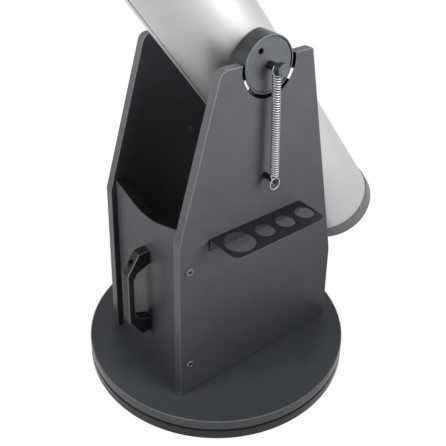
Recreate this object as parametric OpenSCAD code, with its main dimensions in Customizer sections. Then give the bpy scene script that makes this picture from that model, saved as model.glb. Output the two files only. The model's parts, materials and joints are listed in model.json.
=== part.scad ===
// Dobsonian reflector telescope: a silver tube cradled by two altitude drums in a rocker box,
// which turns on a round ground board. Millimetres, +Z up. The origin is on the floor, on the
// azimuth axis. The altitude axis runs along X and the tube points up towards -Y.

/* [Base boards] */
// Diameter of the ground board and of the turning deck
base_d = 478; // [420:1:560]
// Thickness of the ground board and of the deck
board_t = 17; // [14:0.5:22]
// Radius of the rounded rim of both boards
rim_r = 4; // [1:0.5:6]
// Gap between the boards, filled by the glide pads
glide_gap = 3; // [2:0.5:6]
// Height of the rubber feet
foot_h = 18; // [14:1:30]
// Diameter of a foot at the board
foot_d = 42; // [30:1:60]
// Distance of the feet and glide pads from the rim
foot_inset = 46; // [36:1:70]
// Diameter of the azimuth bolt
pivot_d = 12; // [8:1:16]

/* [Rocker box] */
// Room between the tube and each side panel
tube_room = 13; // [11:0.5:26]
// Thickness of the side panels and the front brace
panel_t = 17; // [14:0.5:20]
// Height of the side panels above the deck
panel_h = 573; // [540:1:620]
// Front edge of the panels, in front of the azimuth axis
panel_front = 162; // [150:1:180]
// Rear edge of the panels, behind the azimuth axis
panel_rear = 178; // [160:1:190]
// Height where the front edge starts to slope
front_kink = 300; // [260:1:340]
// Height where the rear edge starts to slope
rear_kink = 157; // [120:1:220]
// Front end of the flat top, in front of the azimuth axis
top_front = 85; // [78:1:110]
// Rear end of the flat top, behind the azimuth axis
top_rear = 99; // [85:1:120]
// Radius of the rounded front top corner
top_round = 16; // [6:1:24]
// Setback of the front brace from the panels' front edges
brace_setback = 10; // [2:1:20]
// Height of the lowest point of the brace's dipped top
brace_h = 297; // [260:1:310]
// Radius of the dip's bottom
dip_r = 150; // [120:5:200]
// Slope of the dip's straight flanks, in degrees
dip_slope = 17.3; // [10:0.1:22]
// Height of the lower assembly bolts
bolt_low = 61; // [40:1:90]
// Height of the upper assembly bolts
bolt_high = 249; // [200:1:260]

/* [Carry handle] */
// Overall length of the handle
handle_l = 167; // [140:1:190]
// Width of the handle
handle_w = 22; // [18:1:30]
// Reach of the grip's front face from the brace
handle_reach = 44; // [38:1:52]
// Thickness of the grip
grip_t = 12; // [9:0.5:15]
// Length of the grip's straight front face
grip_l = 98; // [80:1:104]
// Height of the handle's middle above the deck
handle_mid = 149; // [130:1:170]

/* [Eyepiece rack] */
// Length of the shelf
rack_l = 194; // [186:1:220]
// Depth of the shelf
rack_depth = 67; // [62:1:80]
// Thickness of the sheet
rack_t = 2; // [1.5:0.5:3]
// Height of the shelf's top above the deck
rack_h = 295; // [270:1:330]
// Front end of the shelf, in front of the azimuth axis
rack_front = 105; // [95:1:115]
// Height of the flange against the panel
flange_h = 23; // [18:1:30]
// Radius of the shelf's outer corners
rack_round = 16; // [6:1:20]
// Diameter of the large hole
large_hole_d = 51.8; // [51:0.1:54]
// Diameter of the three small holes
small_hole_d = 32.4; // [32:0.1:35]
// Distance of the large hole from the shelf's front end
large_hole_at = 34.3; // [32:0.1:40]
// Distance from the large hole to the first small hole
first_step = 52.8; // [48:0.1:56]
// Distance between the small holes
small_step = 43.5; // [38:0.1:44]

/* [Altitude bearings] */
// Altitude of the tube at rest, in degrees
alt_rest = 54; // [40:1:70]
// Radius of the altitude drums
drum_r = 48; // [40:1:56]
// Distance of the altitude axis behind the azimuth axis
alt_y = 6; // [0:1:12]
// Drop of the altitude axis below the panel tops
alt_drop = 8; // [4:1:14]
// Thickness of the glide pads in the cradles
cradle_pad_t = 3.2; // [2.5:0.1:5]
// Arc covered by one cradle pad, in degrees
cradle_pad_arc = 20; // [14:1:28]
// Angle of a cradle pad from straight down, in degrees
cradle_pad_angle = 61; // [45:1:64]
// How far the drum stands proud of the panel
drum_proud = 1.5; // [0.5:0.5:4]
// Distance of the drum screws from the axis
drum_screw_r = 30; // [24:1:36]

/* [Tension springs] */
// Diameter of the stud that carries the upper hook
stud_d = 8; // [6:0.5:10]
// Diameter of the spacer between drum and hook
spacer_d = 13.5; // [12:0.5:16]
// Length of the spacer
spacer_l = 16; // [12:0.5:20]
// Diameter of the tension knob
knob_d = 22; // [18:1:28]
// Length of the tension knob
knob_l = 16; // [12:1:22]
// Diameter of the spring wire
wire_d = 1.7; // [1.2:0.1:2]
// Mean radius of the spring's turns
coil_r = 5.4; // [4.8:0.1:6.5]
// Turns of each spring
coil_turns = 40; // [30:1:46]
// Height of the spring posts above the deck
post_h = 374; // [340:1:400]
// Diameter of the spring posts
post_d = 10; // [9:0.5:14]
// Length of the spring posts
post_l = 30; // [28:1:40]
// Mean radius of the pull rings
pull_ring_r = 9.8; // [8:0.1:12]

/* [Optical tube] */
// Outer diameter of the tube
tube_d = 167; // [160:1:176]
// Wall of the tube
tube_wall = 1; // [0.8:0.1:2]
// Length of the tube above the altitude axis
tube_front = 662; // [600:1:760]
// Length of the tube below the altitude axis
tube_rear = 504; // [440:1:520]
// Width of the end rings
ring_w = 29; // [20:1:40]
// Wall of the end rings outside the tube
ring_wall = 2; // [1.5:0.25:4]
// Thickness of the end rings' lips
lip_t = 5; // [3:0.5:8]
// Width of the rear lip inside the tube wall
rear_lip = 9; // [7:0.5:12]
// Width of the front lip inside the tube wall
front_lip = 4; // [2:0.5:6]

/* [Mirrors] */
// Gap between the primary mirror's edge and the tube's bore
mirror_room = 6.5; // [5:0.5:12]
// Thickness of the primary mirror
mirror_t = 22; // [16:1:28]
// Focal length of the primary mirror
focal_l = 1200; // [1000:10:1400]
// Thickness of the mirror cell's plates
cell_t = 5; // [4:0.5:8]
// Gap between the cell's two plates
cell_gap = 9; // [7:0.5:14]
// Distance of the collimation screws from the tube axis
collimate_r = 52; // [44:1:58]
// Minor axis of the diagonal mirror
diagonal_d = 36; // [30:1:44]
// Thickness of the diagonal mirror
diagonal_t = 6; // [4:0.5:8]
// Height of the spider vanes along the tube
vane_h = 20; // [14:1:26]
// Thickness of the spider vanes
vane_t = 0.8; // [0.6:0.1:1.5]

/* [Focuser] */
// Distance of the focuser axis from the tube's front end
focus_inset = 82; // [78:1:120]
// Turn of the focuser from the +X side towards the top, in degrees
focus_roll = 40; // [20:1:60]
// Inner diameter of the drawtube
draw_id = 51.2; // [51:0.1:52]
// Outer diameter of the drawtube
draw_od = 54; // [53.5:0.5:57]
// Height of the focuser body above the tube
focus_h = 38; // [34:1:46]
// Length of the drawtube below its collar
draw_l = 70; // [66:1:90]
// Height of the drawtube's collar above the focuser body at rest
draw_out = 22; // [20:1:30]
// Half of the focus travel
focus_travel = 16; // [10:1:18]
// Module of the rack and pinion
gear_m = 0.8; // [0.6:0.1:0.9]
// Teeth of the pinion
pinion_teeth = 12; // [10:1:13]
// Diameter of the focus knobs
focus_knob_d = 34; // [26:1:40]
// Bore for 1.25 inch eyepieces
eye_bore_d = 31.9; // [31.8:0.1:32.2]

/* [Finder] */
// Turn of the finder from the +X side towards the top, in degrees
finder_roll = 96; // [90:1:120]
// Diameter of the finder's body
finder_d = 30; // [24:1:34]
// Length of the finder
finder_l = 190; // [150:1:220]
// Height of the finder's axis above the tube
finder_h = 52; // [46:1:64]

/* [Fits] */
// Radial clearance of turning and sliding fits
run_fit = 0.08; // [0.05:0.01:0.1]
// Clearance of pieces that are fixed to each other
seat_fit = 0.05; // [0.02:0.01:0.1]
// Clearance of curved faces that pass each other
pass_gap = 0.35; // [0.3:0.05:0.5]

/* [Hidden] */
$fn = 72;
ground_z = foot_h;
ground_top = ground_z + board_t;
deck_z = ground_top + glide_gap;
deck_top = deck_z + board_t;
panel_top = deck_top + panel_h;
box_w = tube_d + 2 * tube_room;
panel_in = box_w / 2;
panel_out = panel_in + panel_t;
brace_y = -panel_front + brace_setback;
brace_back = brace_y + panel_t;
brace_mid = brace_y + panel_t / 2;
foot_ring = base_d / 2 - foot_inset;
foot_angles = [30, 150, 270];
pivot_r = pivot_d / 2;
pivot_washer_t = 2.5;
pivot_washer_margin = 3;
pivot_nut_h = 10;
pivot_head_h = 7;
hex_ratio = 1.85;
pivot_hex_r = pivot_r * hex_ratio;
pivot_washer_r = pivot_hex_r + pivot_washer_margin;
bush_wall = 4;
alt_z = panel_top - alt_drop;
notch_r = drum_r + pass_gap + cradle_pad_t;
drum_face = panel_out + drum_proud;
drum_dish = 1;
drum_rim = 3;
drum_hub_r = drum_r / 2;
drum_step = 0.5;
hook_room = 0.9;
hook_slot = wire_d + hook_room;
wire_r = wire_d / 2;
stud_r = stud_d / 2;
spacer_from = drum_face - drum_dish;
spacer_to = spacer_from + spacer_l;
knob_from = spacer_to + hook_slot;
knob_to = knob_from + knob_l;
post_z = deck_top + post_h;
post_end = panel_out + post_l;
post_flange = 3;
slot_margin = 0.6;
post_slot = 2 * wire_d + 3 * slot_margin;
post_step = 1.5;
post_neck_r = post_d / 2 - post_step;
slot_to = post_end - post_flange;
slot_from = slot_to - post_slot;
hook_low_x = slot_from + slot_margin + wire_r;
pull_ring_x = slot_to - slot_margin - wire_r;
tube_r = tube_d / 2;
bore_r = tube_r - tube_wall;
ring_r = tube_r + ring_wall;
focus_z = tube_front - focus_inset;
cell_base_z = -tube_rear + lip_t;
cell_z = cell_base_z + cell_t + cell_gap;
mirror_pad_t = 1;
mirror_z = cell_z + cell_t + mirror_pad_t;
mirror_r = bore_r - mirror_room;
diagonal_r = diagonal_d / 2;
collimate_angles = [90, 210, 330];
collimate_screw_r = 2.5;
clip_angles = [30, 150, 270];
clip_w = 14;
clip_t = 3;
clip_gap = 0.3;
clip_tab = 5;
clip_tab_t = 2;
pinion_r = gear_m * pinion_teeth / 2;
rack_pitch = PI * gear_m;
rack_w = 6;
rack_stand = 2;
rack_line = draw_od / 2 + rack_stand;
shaft_x = rack_line + pinion_r + seat_fit;
shaft_r = 2.5;
rack_slot_x = rack_line + gear_m + pass_gap;
focus_hole_r = norm([rack_slot_x, rack_w / 2 + pass_gap]) + pass_gap;
body_wall = 6;
body_r = draw_od / 2 + body_wall;
saddle_t = 8;
saddle_margin = 9;
saddle_l = 2 * (body_r + saddle_margin);
saddle_w = 2 * body_r;
shaft_z = tube_r + saddle_t + (focus_h - saddle_t) / 2;
body_top = tube_r + focus_h;
collar_z = body_top + draw_out;
collar_h = 12;
adapter_h = 14;
eye_z = collar_z + collar_h + adapter_h;
finder_back = 40;
finder_z = focus_z - finder_back;
finder_axis = tube_r + finder_h;

// Shared shapes

// A cylinder along X between two x positions
module x_rod(r, x0, x1) {
    translate([x0, 0, 0]) rotate([0, 90, 0]) cylinder(r = r, h = x1 - x0);
}

// Children once on the right side and once mirrored to the left
module both_sides() {
    children();
    mirror([1, 0, 0]) children();
}

// Children at each foot's place on a ring, turned to face outwards
module at_feet() {
    for (a = foot_angles) rotate([0, 0, a]) translate([foot_ring, 0, 0]) children();
}

// A round board with a rounded rim, standing on z = 0
module round_board() {
    rotate_extrude() {
        square([base_d / 2 - rim_r, board_t]);
        translate([0, rim_r]) square([base_d / 2, board_t - 2 * rim_r]);
        for (z = [rim_r, board_t - rim_r]) {
            translate([base_d / 2 - rim_r, z]) intersection() {
                circle(r = rim_r);
                translate([0, -rim_r]) square([rim_r, 2 * rim_r]);
            }
        }
    }
}

// What a fillet of radius r takes off the corner p between edges along the unit vectors u and v
module corner_cut(p, u, v, r) {
    half = acos(u * v) / 2;
    reach = r / tan(half);
    mid = (u + v) / norm(u + v);
    centre = p + mid * r / sin(half);
    difference() {
        polygon([p, p + u * reach, centre, p + v * reach]);
        translate(centre) circle(r = r);
    }
}

// A 2D rectangle with its two far corners rounded
module rounded_shelf(l, w, r) {
    difference() {
        square([w, l]);
        corner_cut([w, 0], [-1, 0], [0, 1], r);
        corner_cut([w, l], [-1, 0], [0, -1], r);
    }
}

// Base screws come up through the deck into the panels and the brace
base_screw_inset = 72;
brace_screw_x = 58;
base_screw_at = concat(
    [for (s = [-1, 1]) for (y = [-panel_front + base_screw_inset, panel_rear - base_screw_inset])
        [s * (panel_in + panel_t / 2), y]],
    [for (s = [-1, 1]) [s * brace_screw_x, brace_mid]]);
base_screw_r = 2.5;
base_screw_l = 30;
base_head_r = 4.8;
base_head_h = 3.5;
base_head_sink = 1;

// Ground board, feet and pivot

module ground_board() color("#34373a") {
    difference() {
        translate([0, 0, ground_z]) round_board();
        cylinder(r = pivot_r + run_fit, h = deck_z);
        at_feet() cylinder(r = foot_screw_r + seat_fit, h = foot_h + foot_screw_l);
    }
}

foot_screw_r = 2.5;
foot_screw_l = 12;
foot_recess_h = 7;
foot_recess_r = 8;
foot_head_r = 5.5;
foot_head_h = 3;
foot_taper = 3;

module feet() color("#1b1b1c") {
    at_feet() rotate_extrude() polygon([
        [foot_screw_r + seat_fit, foot_recess_h],
        [foot_recess_r, foot_recess_h],
        [foot_recess_r, 0],
        [foot_d / 2 - foot_taper, 0],
        [foot_d / 2, foot_h],
        [foot_screw_r + seat_fit, foot_h]]);
}

module foot_screws() color("#b9bcc0") {
    at_feet() {
        translate([0, 0, foot_recess_h - foot_head_h]) cylinder(r = foot_head_r, h = foot_head_h);
        translate([0, 0, foot_recess_h])
            cylinder(r = foot_screw_r, h = foot_h - foot_recess_h + foot_screw_l - seat_fit);
    }
}

glide_pad_l = 40;
glide_pad_w = 26;

module azimuth_pads() color("#f4f4f2") {
    at_feet() translate([-glide_pad_w / 2, -glide_pad_l / 2, ground_top])
        cube([glide_pad_w, glide_pad_l, glide_gap - run_fit]);
}

bolt_end = 2;

module azimuth_bolt() color("#a9adb2") {
    head_z = ground_z - pivot_washer_t - pivot_head_h;
    translate([0, 0, head_z]) cylinder(r = pivot_hex_r, h = pivot_head_h, $fn = 6);
    translate([0, 0, head_z])
        cylinder(r = pivot_r, h = deck_top + pivot_washer_t + pivot_nut_h + bolt_end - head_z);
}

module pivot_washer() {
    difference() {
        cylinder(r = pivot_washer_r, h = pivot_washer_t);
        translate([0, 0, -1]) cylinder(r = pivot_r + seat_fit, h = pivot_washer_t + 2);
    }
}

module azimuth_washers() color("#c7cacd") {
    translate([0, 0, ground_z - pivot_washer_t]) pivot_washer();
    translate([0, 0, deck_top + run_fit]) pivot_washer();
}

module azimuth_nut() color("#a9adb2") {
    translate([0, 0, deck_top + run_fit + pivot_washer_t]) difference() {
        cylinder(r = pivot_hex_r, h = pivot_nut_h, $fn = 6);
        translate([0, 0, -1]) cylinder(r = pivot_r + seat_fit, h = pivot_nut_h + 2);
    }
}

module azimuth_bushing() color("#e6e4da") {
    translate([0, 0, deck_z]) difference() {
        cylinder(r = pivot_r + bush_wall, h = board_t);
        translate([0, 0, -1]) cylinder(r = pivot_r + run_fit, h = board_t + 2);
    }
}

// Rocker box

module top_board() color("#4a5052") {
    difference() {
        translate([0, 0, deck_z]) round_board();
        translate([0, 0, deck_z - 1]) cylinder(r = pivot_r + bush_wall + seat_fit, h = board_t + 2);
        for (p = base_screw_at) translate([p.x, p.y, deck_z - 1]) {
            cylinder(r = base_screw_r + seat_fit, h = board_t + 2);
            cylinder(r = base_head_r + seat_fit, h = 1 + base_head_sink + base_head_h);
        }
    }
}

module base_screws() color("#8e9297") {
    for (p = base_screw_at) translate([p.x, p.y, deck_z + base_head_sink]) {
        cylinder(r = base_head_r, h = base_head_h);
        cylinder(r = base_screw_r, h = board_t - base_head_sink + base_screw_l);
    }
}

// Outline of a side panel in the YZ plane, with its cradle notch
module panel_outline() {
    front_top = [-top_front, panel_top];
    front_bend = [-panel_front, deck_top + front_kink];
    slope = (front_bend - front_top) / norm(front_bend - front_top);
    difference() {
        polygon([
            [-panel_front, deck_top],
            [panel_rear, deck_top],
            [panel_rear, deck_top + rear_kink],
            [top_rear, panel_top],
            front_top,
            front_bend]);
        translate([alt_y, alt_z]) circle(r = notch_r);
        corner_cut(front_top, [1, 0], slope, top_round);
    }
}

bolt_r = 3.5;
bolt_l = 38;
bolt_head_r = 7;
bolt_head_h = 3;
bolt_chamfer = 1;
bolt_socket_r = 3;
bolt_socket_depth = 4;
rack_screw_r = 1.9;
rack_screw_l = 12;
rack_screw_inset = 31;
rack_screw_drop = 14;
rack_head_r = 4;
rack_head_h = 2.2;
post_screw_r = 3;
post_screw_depth = 17;
post_head_r = 5.4;
post_head_h = 3;

module at_bolts() {
    for (h = [bolt_low, bolt_high]) translate([0, brace_mid, deck_top + h]) children();
}

module at_rack_screws() {
    for (y = [-rack_front + rack_screw_inset, -rack_front + rack_l - rack_screw_inset])
        translate([0, y, deck_top + rack_h - rack_screw_drop]) children();
}

module at_post() {
    translate([0, alt_y, post_z]) children();
}

// The right panel. The left one is its mirror image, without the rack's pilot holes.
module side_panel(with_rack) {
    difference() {
        translate([panel_in, 0, 0]) rotate([90, 0, 90]) linear_extrude(panel_t) panel_outline();
        at_bolts() x_rod(bolt_r + seat_fit, panel_in - 1, panel_out + 1);
        at_post() x_rod(post_screw_r + seat_fit, panel_in - 1, panel_out + 1);
        if (with_rack) at_rack_screws()
            x_rod(rack_screw_r + seat_fit, panel_out - rack_screw_l - seat_fit, panel_out + 1);
        for (p = base_screw_at) translate([p.x, p.y, deck_top - 1])
            cylinder(r = base_screw_r + seat_fit, h = 1 + base_screw_l + seat_fit);
    }
}

module side_panel_right() color("#5f6165") {
    side_panel(true);
}

module side_panel_left() color("#5f6165") {
    mirror([1, 0, 0]) side_panel(false);
}

// Outline of the front brace in the XZ plane: a shallow V with a rounded bottom
module brace_outline() {
    low = deck_top + brace_h;
    tangent_x = dip_r * sin(dip_slope);
    tangent_z = low + dip_r * (1 - cos(dip_slope));
    end_z = tangent_z + (panel_in - tangent_x) * tan(dip_slope);
    difference() {
        translate([-panel_in, deck_top]) square([box_w, end_z - deck_top]);
        translate([0, low + dip_r]) circle(r = dip_r, $fn = 180);
        polygon([
            [-tangent_x, tangent_z],
            [tangent_x, tangent_z],
            [2 * panel_in - tangent_x, 2 * end_z - tangent_z],
            [tangent_x - 2 * panel_in, 2 * end_z - tangent_z]]);
    }
}

module front_brace() color("#57595d") {
    difference() {
        translate([0, brace_back, 0]) rotate([90, 0, 0]) linear_extrude(panel_t) brace_outline();
        both_sides() at_bolts() x_rod(bolt_r + seat_fit, panel_out - bolt_l - seat_fit, panel_out + 1);
        at_handle_screws() cylinder(r = handle_screw_r + seat_fit, h = 4 * panel_t, center = true);
        for (p = base_screw_at) translate([p.x, p.y, deck_top - 1])
            cylinder(r = base_screw_r + seat_fit, h = 1 + base_screw_l + seat_fit);
    }
}

module assembly_bolts() color("#26272a") {
    both_sides() at_bolts() difference() {
        union() {
            x_rod(bolt_r, panel_out - bolt_l, panel_out);
            x_rod(bolt_head_r, panel_out, panel_out + bolt_head_h - bolt_chamfer);
            translate([panel_out + bolt_head_h - bolt_chamfer, 0, 0]) rotate([0, 90, 0])
                cylinder(r1 = bolt_head_r, r2 = bolt_head_r - bolt_chamfer, h = bolt_chamfer);
        }
        translate([panel_out + bolt_head_h - bolt_socket_depth, 0, 0]) rotate([0, 90, 0])
            cylinder(r = bolt_socket_r, h = bolt_socket_depth + 1, $fn = 6);
    }
}

// Carry handle

handle_screw_r = 3;
handle_head_r = 5;
handle_head_h = 6;
handle_socket_r = 2.9;
handle_socket_depth = 3;
handle_seat = 8;
counterbore_gap = 0.5;
foot_depth = 21;
foot_thick = 26;
arch_step = 10;
arch_bevel = 22;
arch_round = 12;
handle_round = 3;

// Handle screws run along -Y through the slanted ends
module at_handle_screws() {
    for (s = [-1, 1]) translate([0, brace_y, deck_top + handle_mid + s * (handle_l + grip_l) / 4])
        rotate([90, 0, 0]) children();
}

// Side view of the handle: x is the reach from the brace, y is the height from its middle
module handle_outline() {
    inner = handle_reach - grip_t;
    half = handle_l / 2;
    arch = half - foot_thick;
    knee = [(inner + 2 * foot_depth) / 3, arch - arch_step];
    grip_in = [inner, arch - arch_bevel];
    shoulder = [foot_depth, half];
    grip_out = [handle_reach, grip_l / 2];
    slant = unit(shoulder - grip_out);
    inner_slant = unit(knee - grip_in);
    difference() {
        polygon([
            [0, -half],
            [shoulder.x, -shoulder.y],
            [grip_out.x, -grip_out.y],
            grip_out,
            shoulder,
            [0, half]]);
        difference() {
            polygon([
                [-1, -arch],
                [0, -arch],
                [knee.x, -knee.y],
                [grip_in.x, -grip_in.y],
                grip_in,
                knee,
                [0, arch],
                [-1, arch]]);
            for (side = [0, 1]) mirror([0, side]) {
                corner_cut(grip_in, inner_slant, [0, -1], arch_round);
                corner_cut(knee, -inner_slant, unit([0, arch] - knee), arch_round);
            }
        }
        for (side = [0, 1]) mirror([0, side]) {
            corner_cut(grip_out, slant, [0, -1], handle_round);
            corner_cut(shoulder, -slant, [-1, 0], handle_round);
        }
    }
}

module carry_handle() color("#1d1e20") {
    difference() {
        translate([-handle_w / 2, brace_y, deck_top + handle_mid]) rotate([90, 0, 90])
            linear_extrude(handle_w) mirror([1, 0]) handle_outline();
        at_handle_screws() {
            translate([0, 0, -1]) cylinder(r = handle_screw_r + seat_fit, h = handle_reach + 2);
            translate([0, 0, handle_seat]) cylinder(r = handle_head_r + counterbore_gap, h = handle_reach);
        }
    }
}

module handle_screws() color("#3a3b3e") {
    at_handle_screws() difference() {
        union() {
            translate([0, 0, -panel_t]) cylinder(r = handle_screw_r, h = panel_t + handle_seat);
            translate([0, 0, handle_seat]) cylinder(r = handle_head_r, h = handle_head_h);
        }
        translate([0, 0, handle_seat + handle_head_h - handle_socket_depth])
            cylinder(r = handle_socket_r, h = handle_socket_depth + 1, $fn = 6);
    }
}

// Eyepiece rack

rack_holes = concat([[large_hole_at, large_hole_d]],
    [for (i = [0:2]) [large_hole_at + first_step + i * small_step, small_hole_d]]);
rack_hole_x = (rack_depth + rack_t) / 2;

module eyepiece_rack() color("#26252c") {
    difference() {
        translate([panel_out, -rack_front, deck_top + rack_h]) {
            translate([0, 0, -rack_t]) linear_extrude(rack_t) rounded_shelf(rack_l, rack_depth, rack_round);
            translate([0, 0, -flange_h]) cube([rack_t, rack_l, flange_h]);
        }
        for (h = rack_holes)
            translate([panel_out + rack_hole_x, -rack_front + h[0], deck_top + rack_h - rack_t - 1])
                cylinder(d = h[1], h = rack_t + 2);
        at_rack_screws() x_rod(rack_screw_r + seat_fit, panel_out - 1, panel_out + rack_t + 1);
    }
}

module rack_screws() color("#8e9297") {
    at_rack_screws() {
        x_rod(rack_screw_r, panel_out - rack_screw_l, panel_out + rack_t);
        x_rod(rack_head_r, panel_out + rack_t, panel_out + rack_t + rack_head_h);
    }
}

// Cradle pads and spring hardware on the panels

module altitude_pads() color("#f4f4f2") {
    both_sides() translate([0, alt_y, alt_z]) for (s = [-1, 1])
        rotate([s * cradle_pad_angle, 0, 0]) cradle_pad();
}

// One pad under the axis, an arc that fills the gap between drum and notch
module cradle_pad() {
    translate([panel_in, 0, 0]) rotate([0, 90, 0]) rotate([0, 0, -cradle_pad_arc / 2])
        rotate_extrude(angle = cradle_pad_arc)
            translate([drum_r + pass_gap, 0]) square([cradle_pad_t - seat_fit, panel_t]);
}

module spring_post() {
    at_post() difference() {
        union() {
            x_rod(post_d / 2, panel_out, slot_from);
            x_rod(post_neck_r, slot_from, slot_to);
            x_rod(post_d / 2, slot_to, post_end);
        }
        x_rod(post_screw_r + seat_fit, panel_out - 1, panel_out + post_screw_depth + seat_fit);
    }
}

module spring_post_right() color("#17181a") {
    spring_post();
}

module spring_post_left() color("#17181a") {
    mirror([1, 0, 0]) spring_post();
}

module post_screws() color("#c9ccd0") {
    both_sides() at_post() {
        x_rod(post_screw_r, panel_in, panel_out + post_screw_depth);
        x_rod(post_head_r, panel_in - post_head_h, panel_in);
    }
}

module pull_ring() {
    drop = pull_ring_r - wire_r - post_neck_r - seat_fit;
    translate([pull_ring_x, alt_y, post_z - drop]) rotate([0, 90, 0])
        rotate_extrude() translate([pull_ring_r, 0]) circle(r = wire_r);
}

module pull_ring_right() color("#d5d7da") {
    pull_ring();
}

module pull_ring_left() color("#d5d7da") {
    mirror([1, 0, 0]) pull_ring();
}

// Tension spring: one wire that hooks over the stud, winds down and hooks under the post

hook_top_r = stud_r + pass_gap + wire_r;
hook_grip = 0.15;
hook_low_r = post_neck_r + hook_grip + wire_r;
hook_x = spacer_to + hook_slot / 2;
hook_turn = 240;
hook_start = -60;
hook_neck = 3;
bend_r = 1.6;
bend_start = asin(bend_r / coil_r);
coil_top = alt_z - hook_top_r - hook_neck;
coil_low = post_z + hook_low_r + hook_neck;
coil_pitch = (coil_top - coil_low) / coil_turns;
curl_rings = 8;
wire_sides = 6;

// Sideways place of the wire's middle plane at height z, leaning from the stud to the post's slot
function lean_x(z) =
    hook_x + (hook_low_x - hook_x) * max(0, min(1, (coil_top - z) / (coil_top - coil_low)));

// Points of the wire as [x from the middle plane, y from the axis, z]
top_hook = [for (i = [0:16]) let (a = hook_start + hook_turn * i / 16)
    [0, hook_top_r * cos(a), alt_z + hook_top_r * sin(a)]];
top_bend = [for (i = [0:3]) let (a = 90 * i / 3)
    [bend_r * (1 - cos(a)), -hook_top_r, coil_top + bend_r * (1 - sin(a))]];
coil = [for (i = [0:coil_turns * curl_rings]) let (t = i / curl_rings / coil_turns)
    let (a = bend_start + (360 * coil_turns - 2 * bend_start) * t)
    [coil_r * sin(a), -coil_r * cos(a), coil_top + (coil_low - coil_top) * t]];
low_bend = [for (i = [0:3]) let (a = 90 * i / 3)
    [-bend_r * (1 - sin(a)), -hook_low_r, coil_low - bend_r * (1 - cos(a))]];
low_hook = [for (i = [0:16]) let (a = 180 + hook_turn * i / 16)
    [0, hook_low_r * cos(a), post_z + hook_low_r * sin(a)]];
wire_local = concat(top_hook, top_bend, coil, low_bend, low_hook);
wire_path = [for (p = wire_local) [p.x + lean_x(p.z), p.y + alt_y, p.z]];

function unit(v) = v / norm(v);

// Direction of the wire at point i
function wire_dir(p, i) = unit(p[min(i + 1, len(p) - 1)] - p[max(i - 1, 0)]);

// Part of v that is square to the direction d
function square_to(v, d) = unit(v - (v * d) * d);

// Rings of points round a path, each ring carried on from the one before without twist
function sweep_rings(p, r, sides) =
    let (normals = [for (i = 0, n = square_to([1, 0.2, 0.1], wire_dir(p, 0)); i < len(p);
        i = i + 1, n = square_to(n, wire_dir(p, min(i, len(p) - 1)))) n])
    [for (i = [0:len(p) - 1]) let (d = wire_dir(p, i), n = normals[i], b = cross(d, n))
        for (k = [0:sides - 1]) p[i] + r * (cos(360 * k / sides) * n + sin(360 * k / sides) * b)];

// Triangles of a closed tube of that many rings
function sweep_faces(rings, sides) = concat(
    [for (k = [1:sides - 2]) [0, k + 1, k]],
    [for (i = [0:rings - 2]) for (k = [0:sides - 1]) let (a = i * sides + k, b = i * sides + (k + 1) % sides)
        [a, b, b + sides]],
    [for (i = [0:rings - 2]) for (k = [0:sides - 1]) let (a = i * sides + k, b = i * sides + (k + 1) % sides)
        [a, b + sides, a + sides]],
    [for (k = [1:sides - 2]) (rings - 1) * sides * [1, 1, 1] + [0, k, k + 1]]);

// Least gap between stretches of the wire that are at least skip points apart
function least_gap(p, skip, d) = min([for (i = [0:len(p) - 1 - skip])
    min([for (j = [i + skip:min(i + skip + 3 * curl_rings, len(p) - 1)]) norm(p[i] - p[j])])]) - d;

module tension_spring() {
    echo(str("tension spring: least gap of the wire to itself ", least_gap(wire_path, 6, wire_d), " mm"));
    polyhedron(
        points = sweep_rings(wire_path, wire_r, wire_sides),
        faces = [for (f = sweep_faces(len(wire_path), wire_sides)) [f[0], f[2], f[1]]]);
}

module tension_spring_right() color("#c9cbce") {
    tension_spring();
}

module tension_spring_left() color("#c9cbce") {
    mirror([1, 0, 0]) tension_spring();
}

// Optical tube, in a frame whose origin is on the altitude axis and whose +Z runs to the sky

module on_tube() {
    translate([0, alt_y, alt_z]) rotate([90 - alt_rest, 0, 0]) children();
}

module at_focuser() {
    translate([0, 0, focus_z]) rotate([0, 0, focus_roll]) rotate([0, 90, 0]) children();
}

module at_finder() {
    translate([0, 0, finder_z]) rotate([0, 0, finder_roll]) rotate([0, 90, 0]) children();
}

drill_from = bore_r - 10;
drum_thread_r = 2;
vane_step = 38;
vane_z = focus_z + vane_step;
vane_angles = [for (i = [0:3]) focus_roll + 45 + 90 * i];
vane_stud_r = 2;

module at_drum_screws() {
    for (s = [-1, 1]) translate([0, 0, s * drum_screw_r]) children();
}

module optical_tube() color("#c9cacb") {
    on_tube() difference() {
        translate([0, 0, -tube_rear + lip_t])
            cylinder(r = tube_r, h = tube_front + tube_rear - 2 * lip_t, $fn = 144);
        translate([0, 0, -tube_rear]) cylinder(r = bore_r, h = tube_front + tube_rear, $fn = 144);
        at_focuser() cylinder(r = focus_hole_r, h = tube_d);
        both_sides() {
            x_rod(stud_r + seat_fit, drill_from, tube_d);
            at_drum_screws() x_rod(drum_thread_r + seat_fit, drill_from, tube_d);
        }
        for (a = vane_angles) rotate([0, 0, a]) translate([0, 0, vane_z])
            x_rod(vane_stud_r + seat_fit, drill_from, tube_d);
    }
}

ring_round = 3;

// End ring with its outer face on z = 0, its skirt upwards and its outer edge rounded
module end_ring(lip) {
    rotate_extrude($fn = 144) difference() {
        translate([bore_r - lip, 0]) square([ring_r - bore_r + lip, ring_w]);
        translate([0, lip_t]) square([tube_r + seat_fit, ring_w]);
        corner_cut([ring_r, 0], [-1, 0], [0, 1], ring_round);
    }
}

cell_screw_angles = [30, 150, 270];
cell_screw_ring = bore_r - rear_lip / 2;
cell_screw_r = 1.5;
cell_head_r = 3;
cell_head_h = 1.6;

module rear_ring() color("#77797a") {
    on_tube() difference() {
        translate([0, 0, -tube_rear]) end_ring(rear_lip);
        for (a = cell_screw_angles) rotate([0, 0, a]) translate([cell_screw_ring, 0, -tube_rear - 1])
            cylinder(r = cell_screw_r + seat_fit, h = lip_t + 2);
    }
}

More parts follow.
